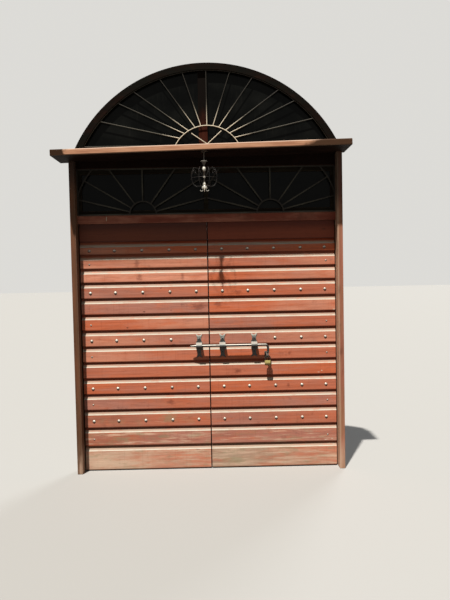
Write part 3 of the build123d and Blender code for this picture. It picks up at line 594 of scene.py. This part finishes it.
# Padlock body: yellow brass above, dark brown towards the bottom
BRASS = Look(
    (),
    {
        "skin": Cloud((110.0, 110.0, 110.0), 5.0, 1.5, 5.0, 0.60),
        "spots": Cloud((70.0, 70.0, 70.0), 9.0, 1.6, 5.0, 0.66),
        "brushed": Cloud((900.0, 900.0, 30.0), 3.0, 1.0, 2.0, 0.50),
    },
    (("level", "height", "skin", 0.03),),
    ("old_brass", "brass", ("level", 0.915, 0.935)),
    ((("old_brass", 0.6), 0.6, ("spots", 0.54, 0.68)), (("brass", 1.2), 0.7, ("rim", 0.0016))),
    Finish((("skin", 1.0), ("brushed", 0.5)), 0.25, 0.0004, 0.0010, "spots", 0.3, 0.20, 0.6),
)

# Milky bulb, near white and partly a painted glint, with a little dust, and black felt as painted shade in
# the joints and key slot
BULB = Look(
    (), {"film": Cloud((60.0, 60.0, 60.0), 5.0, 1.5, 5.0, 0.60)}, (),
    ("bulb", "bone", ("film", 0.40, 0.70)), (),
    Finish((("film", 1.0),), 0.1, 0.0003, 0.0005, "film", 0.2, 0.05),
)
FELT = Look(
    (), {"fluff": Cloud((900.0, 900.0, 900.0), 5.0, 1.0, 3.0, 0.60)}, (),
    ("felt", "pitch", ("fluff", 0.35, 0.65)), (),
    Finish((("fluff", 1.0),), 0.6, 0.0006, 0.0004, None, 0.0, 0.95),
)

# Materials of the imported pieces: name, look, seed and the look's fields
FAN_CENTRE = (0.016, 2.814)
SUNBURST = ("sash", "dim_bar", "sash", ("distance", 0.13, 0.22), ("distance", 0.22, 0.62))
HINGE_IRON = ("pitch", "zinc", 0.6, 0.35, 0.35, 0.3)
NAIL_IRON = ("pitch", "zinc", 0.7, 0.35, 0.35, 0.3)
PIECE_LOOKS = {
    # The left jamb's inner edge is painted shade and the right one's painted light; both get painted shade
    # high up
    "left_jamb": (
        "left_jamb_wood", POST, 31.0, "left_post", "left_post_worn", "shelf_dark",
        ("across", -1.135, -1.112), ("height", 2.36, 2.58),
    ),
    "right_jamb": (
        "right_jamb_wood", POST, 37.0, "right_post", "umber", "beige",
        ("across", 1.128, 1.112), ("height", 2.18, 2.40),
    ),
    "transom_rail": ("transom_rail_wood", TIMBER, 41.0, "rail", "umber", 0.4, "salmon", 0.7, LIT_FINISH),
    # Head beam, arch, sill and sash have tones darkened as painted shade
    "head_beam": ("head_beam_wood", TIMBER, 43.0, "beam", "underside", 0.4, "umber", 0.3, SHADED_FINISH),
    "arch_frame": ("arch_frame_wood", TIMBER, 47.0, "arch", "beam", 0.3, "sash_worn", 0.35, SHADED_FINISH),
    "fanlight_sill": (
        "fanlight_sill_wood", TIMBER, 48.0, "arch", "beam", 0.3, "sash_worn", 0.3, SHADED_FINISH,
    ),
    "transom_sash": (
        "transom_sash_wood", TIMBER, 53.0, "sash", "sash_worn", 0.3, "umber", 0.2, SHADED_FINISH,
    ),
    "canopy_shelf": ("canopy_shelf_wood", SHELF, 61.0),
    "fanlight_mullion": ("fanlight_mullion_wood", MULLION, 51.0),
    "left_lining": ("left_lining_wood", LINING, 71.0),
    "right_lining": ("right_lining_wood", LINING, 83.0),
    "fanlight_panes": ("fanlight_glass", GLASS, 4.0),
    "transom_panes": ("transom_glass", GLASS, 9.0),
    "transom_grille_left": ("transom_grille_left_paint", GRILLE, 5.0, (-0.548, 2.221), *SUNBURST),
    "transom_grille_right": ("transom_grille_right_paint", GRILLE, 5.0, (0.548, 2.221), *SUNBURST),
    "left_studs": ("left_stud_iron", STUD, 7.0),
    "right_studs": ("right_stud_iron", STUD, 17.0),
    "left_hinge_straps": ("left_hinge_iron", IRON, 9.0, *HINGE_IRON),
    "right_hinge_straps": ("right_hinge_iron", IRON, 9.0, *HINGE_IRON),
    "hinge_pintles": ("pintle_iron", IRON, 12.0, *HINGE_IRON),
    "bolt_keeper": ("keeper_iron", STRAP, 3.0),
    "bolt_guides": ("guide_iron", STRAP, 8.0),
    "padlock_staple": ("staple_iron", IRON, 15.0, "soot", "steel", 0.4, 0.25, 0.35, 0.5),
    "bolt_rod": ("bolt_rod_steel", ROD),
    "padlock_body": ("lock_brass_worn", BRASS),
    "padlock_shackle": ("shackle_steel_worn", IRON, 23.0, "soot", "steel", 0.3, 0.19, 0.6, 0.2),
    "lantern_bulb": ("bulb_milk_glass", BULB),
    "lantern_body": ("lantern_iron_old", LANTERN),
}

# Materials of the small trim, in the same order of values
# The fan's bars go from pale at the hub to dark further out as painted shade
FAN_PAINT = (
    "fanlight_grille_paint", GRILLE, 3.0, FAN_CENTRE, "bone", "bar", "soot",
    ("distance", 0.24, 0.44), ("distance", 0.44, 1.30),
)
HOOK_PAINT = ("hook_paint", IRON, 33.0, "bone", "steel", 0.2, 0.35, 0.1, 0.3)
CAGE_IRON = ("cage_wire_iron", IRON, 35.0, "pitch", "soot", 0.3, 0.23, 0.4, 0.1)
LEFT_NAIL_IRON = ("left_nail_iron", IRON, 37.0, *NAIL_IRON)
RIGHT_NAIL_IRON = ("right_nail_iron", IRON, 39.0, *NAIL_IRON)

# Real bevels on the wooden pieces
BEVELLED = (
    "left_jamb", "right_jamb", "transom_rail", "head_beam", "canopy_shelf", "fanlight_sill",
    "fanlight_mullion", "transom_sash", "left_lining", "right_lining",
)
BEVEL_WIDTH = 0.0012
BEVEL_SEGMENTS = 2
BEVEL_ANGLE = math.radians(32.0)
WELD_GAP = 0.00005

# Corners of a square about its middle
SQUARE = ((-1, -1), (1, -1), (1, 1), (-1, 1))

# Round wires
WIRE_SIDES = 3
WIRE_ORDER = 3
WIRE_STEPS = 6

# Felt strips in the joints, black as painted shade in the gaps, as outlines across and into the building; the
# first corner is frayed
MEETING_FELT = ((-0.0026, 0.030), (0.0040, 0.030), (0.0040, 0.063), (-0.00392, 0.063))
LEFT_FELT = ((-1.1014, 0.045), (-1.1014, 0.062), (-1.1102, 0.062), (-1.1102, 0.045))
RIGHT_FELT = ((1.1014, 0.045), (1.1102, 0.045), (1.1102, 0.062), (1.1014, 0.062))
FELT_SEED = 11
FELT_STEPS = 90
FELT_FRAY = 0.0004
FELT_CLEARANCE = 0.002

# Hook on the transom rail, as steps from its place
HOOK_PLACE = (-0.860, -0.0150, 2.176)
HOOK_PATH = (
    (0.0, 0.004, 0.02448),
    (0.0, -0.003, 0.02448),
    (0.0, -0.004, 0.034),
    (0.0, -0.005, 0.0136),
    (0.0, -0.003, 0.0),
    (0.0, -0.011, -0.004),
    (0.0, -0.013, 0.0102),
)
HOOK_WIRE = 0.0019

# Fan grille of the fanlight: round wrought bars; a circle is the height of its middle and its radius
FAN_WIRE = 0.0038
FAN_DEPTH = -0.0045
FAN_HOOP = (2.23946, 1.1995)
FAN_HUB = (2.66328, 0.3087)
FAN_FOOT = 2.8068
FAN_RAYS = (12.6, 25.2, 36.0, 54.5, 71.5, 90.0, 108.5, 125.5, 144.0, 154.8, 167.4)
FAN_V_ANGLES = (42.0, 145.0)
FAN_V_LENGTH = 0.165
ARC_STEPS = 28
RAY_STEPS = 2

# Lantern cage: the first bar's share of a step round, radius and height along a bar and its scroll
CAGE_AXIS = (-0.010, -0.300)
CAGE_BARS = 8
CAGE_START = 0.5
CAGE_WIRE = 0.0012
CAGE_HOOP = (0.112, 2.475)
CAGE_HOOP_WIRE = 0.0013
CAGE_HOOP_STEPS = 24
CAGE_BAR = (
    (0.013, 2.4955), (0.030, 2.5300), (0.062, 2.5640), (0.094, 2.5560), (0.110, 2.5180),
    (0.1120, 2.4750), (0.102, 2.4360), (0.074, 2.4140), (0.046, 2.4130), (0.026, 2.4190),
)
CAGE_SCROLL = (
    (0.110, 2.5120), (0.098, 2.5420), (0.078, 2.5430), (0.070, 2.5260), (0.080, 2.5140), (0.089, 2.5230),
)

# Nail heads on the lining; their profile is shares of radius and height
LINING_START = 0.004
LINING_BACK = 0.065
LINING_EDGE = 0.055
LINING_ROWS = (0.140, 0.560, 0.820, 1.400, 1.660, 2.040)
NAIL_SEED = 5
NAIL_STRAY_ACROSS = 0.004
NAIL_STRAY_UP = 0.006
NAIL_RADIUS = 0.0055
NAIL_HEIGHT = 0.0024
NAIL_PROFILE = ((1.0, 0.0), (0.92, 0.55), (0.55, 0.92))
NAIL_SEGMENTS = 10

# Lock plug under the padlock; its profile is shares of radius and drop
PLUG_PLACE = (0.500, -0.050, 0.905)
PLUG_RADIUS = 0.0075
PLUG_DROP = 0.0016
PLUG_PROFILE = ((1.0, 0.0), (1.0, 0.7), (0.86, 1.0), (0.52, 1.0), (0.48, 0.6))
PLUG_SEGMENTS = 28
KEY_SLOT_HALF = (0.0042, 0.0009)
KEY_SLOT_DROP = 0.62


def linear(value):
    """One eight-bit display value as linear light."""
    share = value / DISPLAY_STEPS
    if share <= CURVE_KNEE:
        return share / CURVE_SLOPE
    return ((share + CURVE_OFFSET) / (1.0 + CURVE_OFFSET)) ** CURVE_POWER


def tone(name, gain=1.0):
    """A named tone as a linear colour, lighter or darker by gain."""
    red, green, blue = TONES[name]
    return (linear(red) * gain, linear(green) * gain, linear(blue) * gain, 1.0)


class Shading:
    """Short calls for building one tree of shader nodes."""

    def __init__(self, tree):
        self.tree = tree

    def feed(self, socket, value):
        """Links an output to the socket, or sets the socket's own value."""
        if isinstance(value, bpy.types.NodeSocket):
            self.tree.links.new(value, socket)
        else:
            socket.default_value = value

    def node(self, kind, output, inputs, **settings):
        """One output of a new node with its settings and inputs."""
        made = self.tree.nodes.new("ShaderNode" + kind)
        for key, value in settings.items():
            setattr(made, key, value)
        for key, value in inputs.items():
            self.feed(made.inputs[key], value)
        return made.outputs[output]

    def calc(self, operation, first, second=0.0):
        """One sum on two values."""
        return self.node("Math", "Value", {0: first, 1: second}, operation=operation)

    def mix(self, amount, first, second, mode="MIX"):
        """Blend of two colours."""
        return self.node("Mix", 2, {0: amount, 6: first, 7: second}, data_type="RGBA", blend_type=mode)

    def between(self, value, start, full):
        """Smooth step from 0 at start to 1 at full, either of which may be the larger."""
        return self.node("MapRange", "Result", {
            "Value": value,
            "From Min": min(start, full),
            "From Max": max(start, full),
            "To Min": float(start > full),
            "To Max": float(start < full),
        }, interpolation_type="SMOOTHSTEP")

    def seen_directly(self):
        """Mask of the rays from the camera, in reflections and through glass."""
        rays = [self.node("LightPath", f"Is {kind} Ray", {}) for kind in ("Camera", "Glossy", "Transmission")]
        return self.calc("MAXIMUM", self.calc("MAXIMUM", rays[0], rays[1]), rays[2])


class Paint(Shading):
    """One material, built from a look."""

    def __init__(self, name, look=None, seed=0.0, *own):
        self.material = bpy.data.materials.new(name)
        self.material.use_nodes = True
        super().__init__(self.material.node_tree)
        self.seed = seed
        self.place = self.node("TexCoord", "Object", {})
        self.normal = self.node("NewGeometry", "Normal", {})
        self.values = {"up": self.node("SeparateXYZ", "Z", {"Vector": self.normal})}
        for key, axis in (("across", "X"), ("depth", "Y"), ("height", "Z")):
            self.values[key] = self.node("SeparateXYZ", axis, {"Vector": self.place})
        if look is not None:
            self.values.update(zip(look.fields, own))
            self.build(look)

    def build(self, look):
        """Patterns, steps, layers and finish of a look."""
        for key, pattern in look.patterns.items():
            self.values[key] = self.pattern(pattern)
        if "centre" in self.values:
            self.values["distance"] = self.reach(self.values["centre"], EVEN)
        for key, first, *rest in look.steps:
            step = self.waver if isinstance(first, str) else self.largest
            self.values[key] = step(first, *rest)
        self.finish(self.lay(self.hue(look.base), look.layers), self.named(look.finish))

    def named(self, what):
        """What a name stands for in this material, or the thing itself."""
        return self.values.get(what, what) if isinstance(what, str) else what

    def pattern(self, pattern):
        """A cloud's values from 0 to 1, or the distance to the nearest of scattered points."""
        place = [(self.seed + pattern.place) * share for share in SEED_SPREAD]
        moved = {"Vector": self.place, "Scale": pattern.stretch, "Location": place}
        inputs = {"Vector": self.node("Mapping", "Vector", moved)}
        if isinstance(pattern, Cells):
            return self.node("TexVoronoi", "Distance", {**inputs, "Scale": CELL_SIZE})
        inputs.update({"Scale": pattern.size, "Detail": pattern.detail})
        inputs.update({"Roughness": pattern.rough, "Distortion": pattern.bend})
        return self.node("TexNoise", "Fac", inputs)

    def waver(self, value, pattern, reach, middle=CLOUD_MIDDLE):
        """A value moved up and down by a pattern."""
        swing = self.calc("SUBTRACT", self.named(pattern), middle)
        return self.calc("ADD", self.named(value), self.calc("MULTIPLY", swing, reach))

    def largest(self, *products):
        """The largest of several products of an amount and masks."""
        total = 0.0
        for product in products:
            total = self.calc("MAXIMUM", total, self.strength(*product))
        return total

    def strength(self, amount, *masks):
        """An amount times its masks."""
        total = self.named(amount)
        for mask in masks:
            part = self.named(mask)
            if isinstance(part, tuple):
                part = self.mask(*part)
            total = self.calc("MULTIPLY", part, total)
        return total

    def mask(self, name, *span):
        """Worn edges, a single mark or the smooth step of a named value."""
        if name == "rim":
            return self.rim(*span)
        if name == "spot":
            return self.spot(*span)
        return self.between(self.values[name], *span)

    def rounded(self, radius):
        """The normal as it would be with rounded edges."""
        return self.node("Bevel", "Normal", {"Radius": radius}, samples=BEVEL_SAMPLES)

    def rim(self, radius):
        """Mask of the edges, found by comparing the rounded normal with the flat one."""
        normals = {0: self.normal, 1: self.rounded(radius)}
        return self.between(self.node("VectorMath", "Value", normals, operation="DOT_PRODUCT"), *EDGE_SPAN)

    def reach(self, centre, size):
        """Distance from a centre on the door's face, in shares of a size."""
        total = 0.0
        for axis, middle, half in zip(("across", "height"), centre, size):
            side = self.calc("DIVIDE", self.calc("SUBTRACT", self.values[axis], middle), half)
            total = self.calc("ADD", total, self.calc("MULTIPLY", side, side))
        return self.calc("SQRT", total)

    def spot(self, across, height, wide, high, index):
        """A ragged oval mark on the door's face."""
        ragged = self.pattern(SPOT_EDGE._replace(place=float(index)))
        reach = self.reach((across, height), (wide, high))
        return self.between(self.waver(reach, ragged, SPOT_RAGGED), *SPOT_SPAN)

    def hue(self, spec):
        """The colour of a tone with its gain, a coat with its own layers, a plain colour or a blend."""
        if isinstance(spec, str):
            return tone(self.named(spec))
        if isinstance(spec, Coat):
            return self.lay(self.hue(spec.base), spec.layers)
        if isinstance(spec[0], float):
            return spec
        if isinstance(spec[1], float):
            return tone(self.named(spec[0]), spec[1])
        first, second, mask = spec
        return self.mix(self.strength(1.0, mask), self.hue(first), self.hue(second))

    def lay(self, color, layers):
        """The colour with layers over it."""
        for spec, amount, *masks in layers:
            strength = self.strength(amount, *masks)
            if spec in SHADES:
                color = self.mix(strength, color, SHADES[spec], "MULTIPLY")
            else:
                color = self.mix(strength, color, self.hue(spec))
        return color

    def relief(self, finish):
        """The normal with the bumps of the finish over softly rounded edges."""
        height = 0.0
        for name, share in finish.relief:
            height = self.calc("ADD", height, self.calc("MULTIPLY", self.values[name], share))
        return self.node("Bump", "Normal", {
            "Strength": finish.strength,
            "Distance": finish.depth,
            "Height": height,
            "Normal": self.rounded(finish.radius),
        })

    def finish(self, color, finish):
        """Gives the material its colour, relief, roughness, metal share and shine."""
        inputs = self.tree.nodes["Principled BSDF"].inputs
        roughness = self.named(finish.base)
        if finish.pattern:
            swing = self.calc("MULTIPLY", self.values[finish.pattern], finish.gain)
            roughness = self.calc("ADD", swing, roughness)
        if finish.relief:
            self.feed(inputs["Normal"], self.relief(finish))
        self.feed(inputs["Base Color"], color)
        self.feed(inputs["Roughness"], roughness)
        inputs["Specular IOR Level"].default_value = finish.shine
        inputs["Metallic"].default_value = self.named(finish.metallic)


def paint(name, look, seed=0.0, *own):
    """The material that a look makes with its seed and its own fields."""
    return Paint(name, look, seed, *own).material


def board_material(name, box, lap, look, seed):
    """Weathered red stain on one board, with the dusty arris along its top."""
    first, second, smudged, bleach = look
    low, high = box
    bare_wood = [value - less * bleach for value, less in zip(BARE_SPAN, BARE_SPAN_BLEACHED)]
    fields = {
        "first": first,
        "second": second,
        "smudged": smudged,
        "ends": ("across", low[0], high[0]),
        "bare_wood": ("bare", *bare_wood),
        "bared": BARE_AMOUNT + BARE_AMOUNT_BLEACHED * bleach,
        "greened": min(1.0, ALGAE_BLEACHED * bleach),
        "low_edge": ("height", *(low[2] + rise for rise in LOW_EDGE)),
    }
    marks = []
    for index, (*oval, kind) in enumerate(MARKS.get(name, ())):
        marks.append((*MARK_COVERS[kind], ("spot", *oval, index)))
    layers = (*WEATHER_LAYERS, *marks, LOWER_EDGE_SHADE_LAYER)
    if lap is None:
        layers += (RAIL_SHADE_LAYER, JOINT_LAYER)
    else:
        layers = (*DRIFT_LAYERS, *layers, *LAP_LAYERS, JOINT_LAYER)
        fields.update({key: ("height", *(lap - drop for drop in band)) for key, band in LAP_BANDS.items()})
    stain = Look(tuple(fields), BOARD_PATTERNS, BOARD_STEPS, BOARD_BASE, layers, BOARD_FINISH)
    return paint(f"{name}_stain", stain, seed, *fields.values())


def soften(node):
    """Small real bevels on the sharp edges of a wooden node."""
    weld = node.modifiers.new("weld", "WELD")
    weld.merge_threshold = WELD_GAP
    bevel = node.modifiers.new("edges", "BEVEL")
    bevel.limit_method = "ANGLE"
    bevel.angle_limit = BEVEL_ANGLE
    bevel.width = BEVEL_WIDTH
    bevel.segments = BEVEL_SEGMENTS


def put(name, shape, material, body):
    """A new piece on its body, with its material."""
    piece = bpy.data.objects.new(name, shape)
    bpy.context.scene.collection.objects.link(piece)
    shape.materials.append(material)
    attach(piece, body)
    return piece


def wire(name, paths, radius, material, body, closed=False):
    """Round wire along smooth paths."""
    curve = bpy.data.curves.new(name, "CURVE")
    curve.dimensions = "3D"
    curve.bevel_depth = radius
    curve.bevel_resolution = WIRE_SIDES
    curve.use_fill_caps = True
    for points in paths:
        spline = curve.splines.new("NURBS")
        spline.points.add(len(points) - 1)
        for target, point in zip(spline.points, points):
            target.co = (*point, 1.0)
        spline.order_u = WIRE_ORDER
        spline.use_endpoint_u = not closed
        spline.use_cyclic_u = closed
        spline.resolution_u = WIRE_STEPS
    return put(name, curve, material, body)


def turns(steps, start=0.0):
    """Angles of equal steps once round."""
    return [2.0 * math.pi * (step + start) / steps for step in range(steps)]


def circle_points(radius, steps):
    """Pairs of a circle's points about its middle."""
    return [(radius * math.cos(turn), radius * math.sin(turn)) for turn in turns(steps)]


def join_rings(builder, rings):
    """Faces between each ring of points and the next."""
    for low, high in zip(rings, rings[1:]):
        for start in range(len(low)):
            end = (start + 1) % len(low)
            builder.faces.new((low[start], high[start], high[end], low[end]))


def mesh_from(builder, name):
    """The finished mesh, facing outwards."""
    bmesh.ops.recalc_face_normals(builder, faces=builder.faces)
    mesh = bpy.data.meshes.new(name)
    builder.to_mesh(mesh)
    builder.free()
    return mesh


def add_felt(name, outline, levels, material, body):
    """Frayed black felt strip in a joint, painted shade of the gap."""
    stray = random.Random(FELT_SEED)
    lowest, highest = levels
    frayed = outline[0]
    builder = bmesh.new()
    rings = []
    for index in range(FELT_STEPS + 1):
        level = lowest + (highest - lowest) * index / FELT_STEPS
        inward = math.copysign(stray.uniform(0.0, FELT_FRAY), outline[2][0] - frayed[0])
        near = stray.uniform(0.0, FELT_FRAY)
        corners = [(frayed[0] + inward, frayed[1] + near), *outline[1:]]
        rings.append([builder.verts.new((*corner, level)) for corner in corners])
    join_rings(builder, rings)
    builder.faces.new(list(reversed(rings[0])))
    builder.faces.new(rings[-1])
    put(name, mesh_from(builder, name), material, body)


def add_hook(material):
    """Small white wire hook on the transom rail."""
    path = [Vector(HOOK_PLACE) + Vector(step) for step in HOOK_PATH]
    wire("rail_hook", [path], HOOK_WIRE, material, "frame")


def fan_point(distance, angle):
    """A point of the fan grille at a distance from its centre."""
    across = FAN_CENTRE[0] + distance * math.cos(math.radians(angle))
    return (across, FAN_DEPTH, FAN_CENTRE[1] + distance * math.sin(math.radians(angle)))


def fan_bar(start, end, angle):
    """Points of a straight bar between two distances from the fan's centre."""
    return [fan_point(start + (end - start) * step / RAY_STEPS, angle) for step in range(RAY_STEPS + 1)]


def fan_reach(angle, circle):
    """Distance from the fan's centre to a circle, along an angle."""
    middle, radius = circle
    rise = FAN_CENTRE[1] - middle
    turn = math.radians(angle)
    return math.sqrt(radius ** 2 - (rise * math.cos(turn)) ** 2) - rise * math.sin(turn)


def fan_arc(circle, foot):
    """Points of a circle's arc that stands over the level of its foot."""
    middle, radius = circle
    start = math.asin((foot - middle) / radius)
    points = []
    for step in range(ARC_STEPS + 1):
        turn = start + (math.pi - 2.0 * start) * step / ARC_STEPS
        points.append((FAN_CENTRE[0] + radius * math.cos(turn), FAN_DEPTH, middle + radius * math.sin(turn)))
    return points


def add_fan_grille(material):
    """Fan of round bars: hoop, rays, flattened hub, the small V in it and the bar along the sill."""
    hoop = fan_arc(FAN_HOOP, FAN_FOOT)
    sill = [hoop[-1], (FAN_CENTRE[0], FAN_DEPTH, FAN_FOOT), hoop[0]]
    paths = [hoop, fan_arc(FAN_HUB, FAN_FOOT), sill]
    paths += [fan_bar(fan_reach(angle, FAN_HUB), fan_reach(angle, FAN_HOOP), angle) for angle in FAN_RAYS]
    paths += [fan_bar(0.0, FAN_V_LENGTH, angle) for angle in FAN_V_ANGLES]
    bars = wire("fan_grille_bars", paths, FAN_WIRE, material, "frame")
    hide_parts("fanlight_grille")


def cage_point(radius, height, turn):
    """A point of the lantern's cage."""
    return (CAGE_AXIS[0] + radius * math.cos(turn), CAGE_AXIS[1] + radius * math.sin(turn), height)


def add_cage(material):
    """Scrolled wire cage round the lantern's bulb."""
    paths = []
    for turn in turns(CAGE_BARS, CAGE_START):
        for profile in (CAGE_BAR, CAGE_SCROLL):
            paths.append([cage_point(radius, height, turn) for radius, height in profile])
    bars = wire("lantern_cage_wires", paths, CAGE_WIRE, material, "frame")
    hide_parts("lantern_cage")
    hoop = [cage_point(*CAGE_HOOP, turn) for turn in turns(CAGE_HOOP_STEPS)]
    wire("lantern_cage_hoop", [hoop], CAGE_HOOP_WIRE, material, "frame", closed=True)


def add_dome(builder, x, y, z):
    """A low domed nail head that faces away from the street."""
    rings = []
    for share, rise in NAIL_PROFILE:
        rings.append([
            builder.verts.new((x + across, y + NAIL_HEIGHT * rise, z + up))
            for across, up in circle_points(NAIL_RADIUS * share, NAIL_SEGMENTS)
        ])
    tip = builder.verts.new((x, y + NAIL_HEIGHT, z))
    join_rings(builder, rings)
    top = rings[-1]
    for start in range(NAIL_SEGMENTS):
        builder.faces.new((top[start], tip, top[(start + 1) % NAIL_SEGMENTS]))
    builder.faces.new(rings[0])


def add_lining_nails(name, side, material, body):
    """Nail heads down both edges of each lining plank."""
    stray = random.Random(NAIL_SEED)
    builder = bmesh.new()
    for plank in range(LINING_PLANKS):
        outer = LINING_START + LINING_PITCH * plank
        for shift in (LINING_EDGE, LINING_PITCH - LINING_EDGE):
            for level in LINING_ROWS:
                across = side * (outer + shift) + stray.uniform(-NAIL_STRAY_ACROSS, NAIL_STRAY_ACROSS)
                add_dome(builder, across, LINING_BACK, level + stray.uniform(-NAIL_STRAY_UP, NAIL_STRAY_UP))
    mesh = mesh_from(builder, name)
    mesh.shade_smooth()
    put(name, mesh, material, body)


def add_lock_plug(material, slot_material):
    """Turned plug under the padlock; its key slot is a flat black face, painted shade of the hole."""
    builder = bmesh.new()
    x, y, z = PLUG_PLACE
    rings = []
    for share, drop in PLUG_PROFILE:
        rings.append([
            builder.verts.new((x + across, y + inward, z - PLUG_DROP * drop))
            for across, inward in circle_points(PLUG_RADIUS * share, PLUG_SEGMENTS)
        ])
    join_rings(builder, rings)
    builder.faces.new(rings[0])
    builder.faces.new(list(reversed(rings[-1])))
    half_length, half_width = KEY_SLOT_HALF
    key_face = builder.faces.new([
        builder.verts.new((x + across * half_length, y + inward * half_width, z - PLUG_DROP * KEY_SLOT_DROP))
        for across, inward in SQUARE
    ])
    key_face.material_index = 1
    piece = put("padlock_plug", mesh_from(builder, "padlock_plug"), material, "padlock")
    piece.data.materials.append(slot_material)


def dress(name, material):
    """Gives a node its material."""
    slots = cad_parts[name].data.materials
    slots.clear()
    slots.append(material)


def dress_boards():
    """A material of its own for every board; each one's dust follows the board above it."""
    for leaf, looks, seed in LEAF_LOOKS:
        lap = None
        for index, look in enumerate(looks, start=1):
            name = f"{leaf}_board_{index:02d}"
            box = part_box(name)
            dress(name, board_material(name, box, lap, look, seed + SEED_STEP * index))
            soften(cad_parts[name])
            lap = box[0][2]


def dress_pieces():
    """Materials of frame, lights, back and ironwork, and bevels on the wood."""
    for name, look in PIECE_LOOKS.items():
        dress(name, paint(*look))
    for name in BEVELLED:
        soften(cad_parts[name])


def add_trim():
    """Fan grille, felts, hook, lantern cage, lining nails and lock plug."""
    add_fan_grille(paint(*FAN_PAINT))
    felt = paint("joint_shade_felt", FELT)
    leaf_low, leaf_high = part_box("right_lining")
    levels = (leaf_low[2] + FELT_CLEARANCE, leaf_high[2] - FELT_CLEARANCE)
    add_felt("meeting_shade_felt", MEETING_FELT, levels, felt, "right_leaf")
    add_felt("left_jamb_shade_felt", LEFT_FELT, levels, felt, "frame")
    add_felt("right_jamb_shade_felt", RIGHT_FELT, levels, felt, "frame")
    add_hook(paint(*HOOK_PAINT))
    add_cage(paint(*CAGE_IRON))
    add_lining_nails("left_lining_nails", -1.0, paint(*LEFT_NAIL_IRON), "left_leaf")
    add_lining_nails("right_lining_nails", 1.0, paint(*RIGHT_NAIL_IRON), "right_leaf")
    add_lock_plug(paint("lock_brass_worn", BRASS), felt)


def camera_matrix():
    """Camera orientation from yaw, pitch and roll at the photo's standing point."""
    forward = Vector((
        math.sin(CAMERA_YAW) * math.cos(CAMERA_PITCH),
        math.cos(CAMERA_YAW) * math.cos(CAMERA_PITCH),
        math.sin(CAMERA_PITCH),
    ))
    level_right = Vector((math.cos(CAMERA_YAW), -math.sin(CAMERA_YAW), 0.0))
    level_up = level_right.cross(forward)
    right = math.cos(CAMERA_ROLL) * level_right + math.sin(CAMERA_ROLL) * level_up
    up = -math.sin(CAMERA_ROLL) * level_right + math.cos(CAMERA_ROLL) * level_up
    turn = Matrix((right, up, -forward)).transposed().to_4x4()
    return Matrix.Translation(Vector(CAMERA_PLACE)) @ turn


def add_camera():
    """The camera at the photo's place and angle."""
    data = bpy.data.cameras.new("camera")
    data.lens = CAMERA_LENS
    data.sensor_width = CAMERA_SENSOR
    data.sensor_fit = "AUTO"
    camera = bpy.data.objects.new("camera", data)
    bpy.context.scene.collection.objects.link(camera)
    camera.matrix_world = camera_matrix()
    bpy.context.scene.camera = camera


def add_sun(name, travel, strength, angle, color):
    """One distant lamp."""
    data = bpy.data.lights.new(name, "SUN")
    data.energy = strength
    data.angle = angle
    data.color = color
    lamp = bpy.data.objects.new(name, data)
    bpy.context.scene.collection.objects.link(lamp)
    lamp.rotation_euler = Vector(travel).to_track_quat("-Z", "Y").to_euler()


def add_light():
    """High sun from the upper left, a weak lamp for the back and an even sky."""
    add_sun("sun", SUN_TRAVEL, SUN_STRENGTH, SUN_ANGLE, SUN_COLOR)
    add_sun("back_lamp", BACK_TRAVEL, BACK_STRENGTH, BACK_ANGLE, SKY_COLOR[:3])
    world = bpy.data.worlds.new("sky")
    bpy.context.scene.world = world
    world.use_nodes = True
    shading = Shading(world.node_tree)
    sky = shading.node("Background", 0, {"Color": SKY_COLOR, "Strength": SKY_STRENGTH})
    seen = shading.node("Background", 0, {"Color": BACKDROP_COLOR})
    both = shading.node("MixShader", 0, {0: shading.seen_directly(), 1: sky, 2: seen})
    shading.feed(shading.tree.nodes["World Output"].inputs["Surface"], both)


def add_floor(level):
    """Plain pale floor under the door."""
    corners = [(x * FLOOR_HALF, y * FLOOR_HALF, level) for x, y in SQUARE]
    mesh = bpy.data.meshes.new("floor")
    mesh.from_pydata(corners, [], [(0, 1, 2, 3)])
    floor = bpy.data.objects.new("floor", mesh)
    bpy.context.scene.collection.objects.link(floor)
    stone = Paint("floor_stone")
    stone.finish(stone.mix(stone.seen_directly(), FLOOR_BOUNCE_COLOR, FLOOR_COLOR), FLOOR_FINISH)
    mesh.materials.append(stone.material)


def box_of(bounds):
    """The two corners as plain lists of numbers."""
    return [list(bounds[0]), list(bounds[1])]


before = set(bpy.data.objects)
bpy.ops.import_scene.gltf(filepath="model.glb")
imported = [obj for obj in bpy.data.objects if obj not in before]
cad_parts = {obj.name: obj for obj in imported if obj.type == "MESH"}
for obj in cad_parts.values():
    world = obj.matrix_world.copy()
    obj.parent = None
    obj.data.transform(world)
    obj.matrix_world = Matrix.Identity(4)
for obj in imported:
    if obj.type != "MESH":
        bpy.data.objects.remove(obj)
cad_box = box_of(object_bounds())
bpy.context.scene.view_settings.view_transform = "Standard"
dress_boards()
dress_pieces()
add_trim()
add_camera()
add_light()
add_floor(cad_box[0][2] - FLOOR_CLEARANCE)
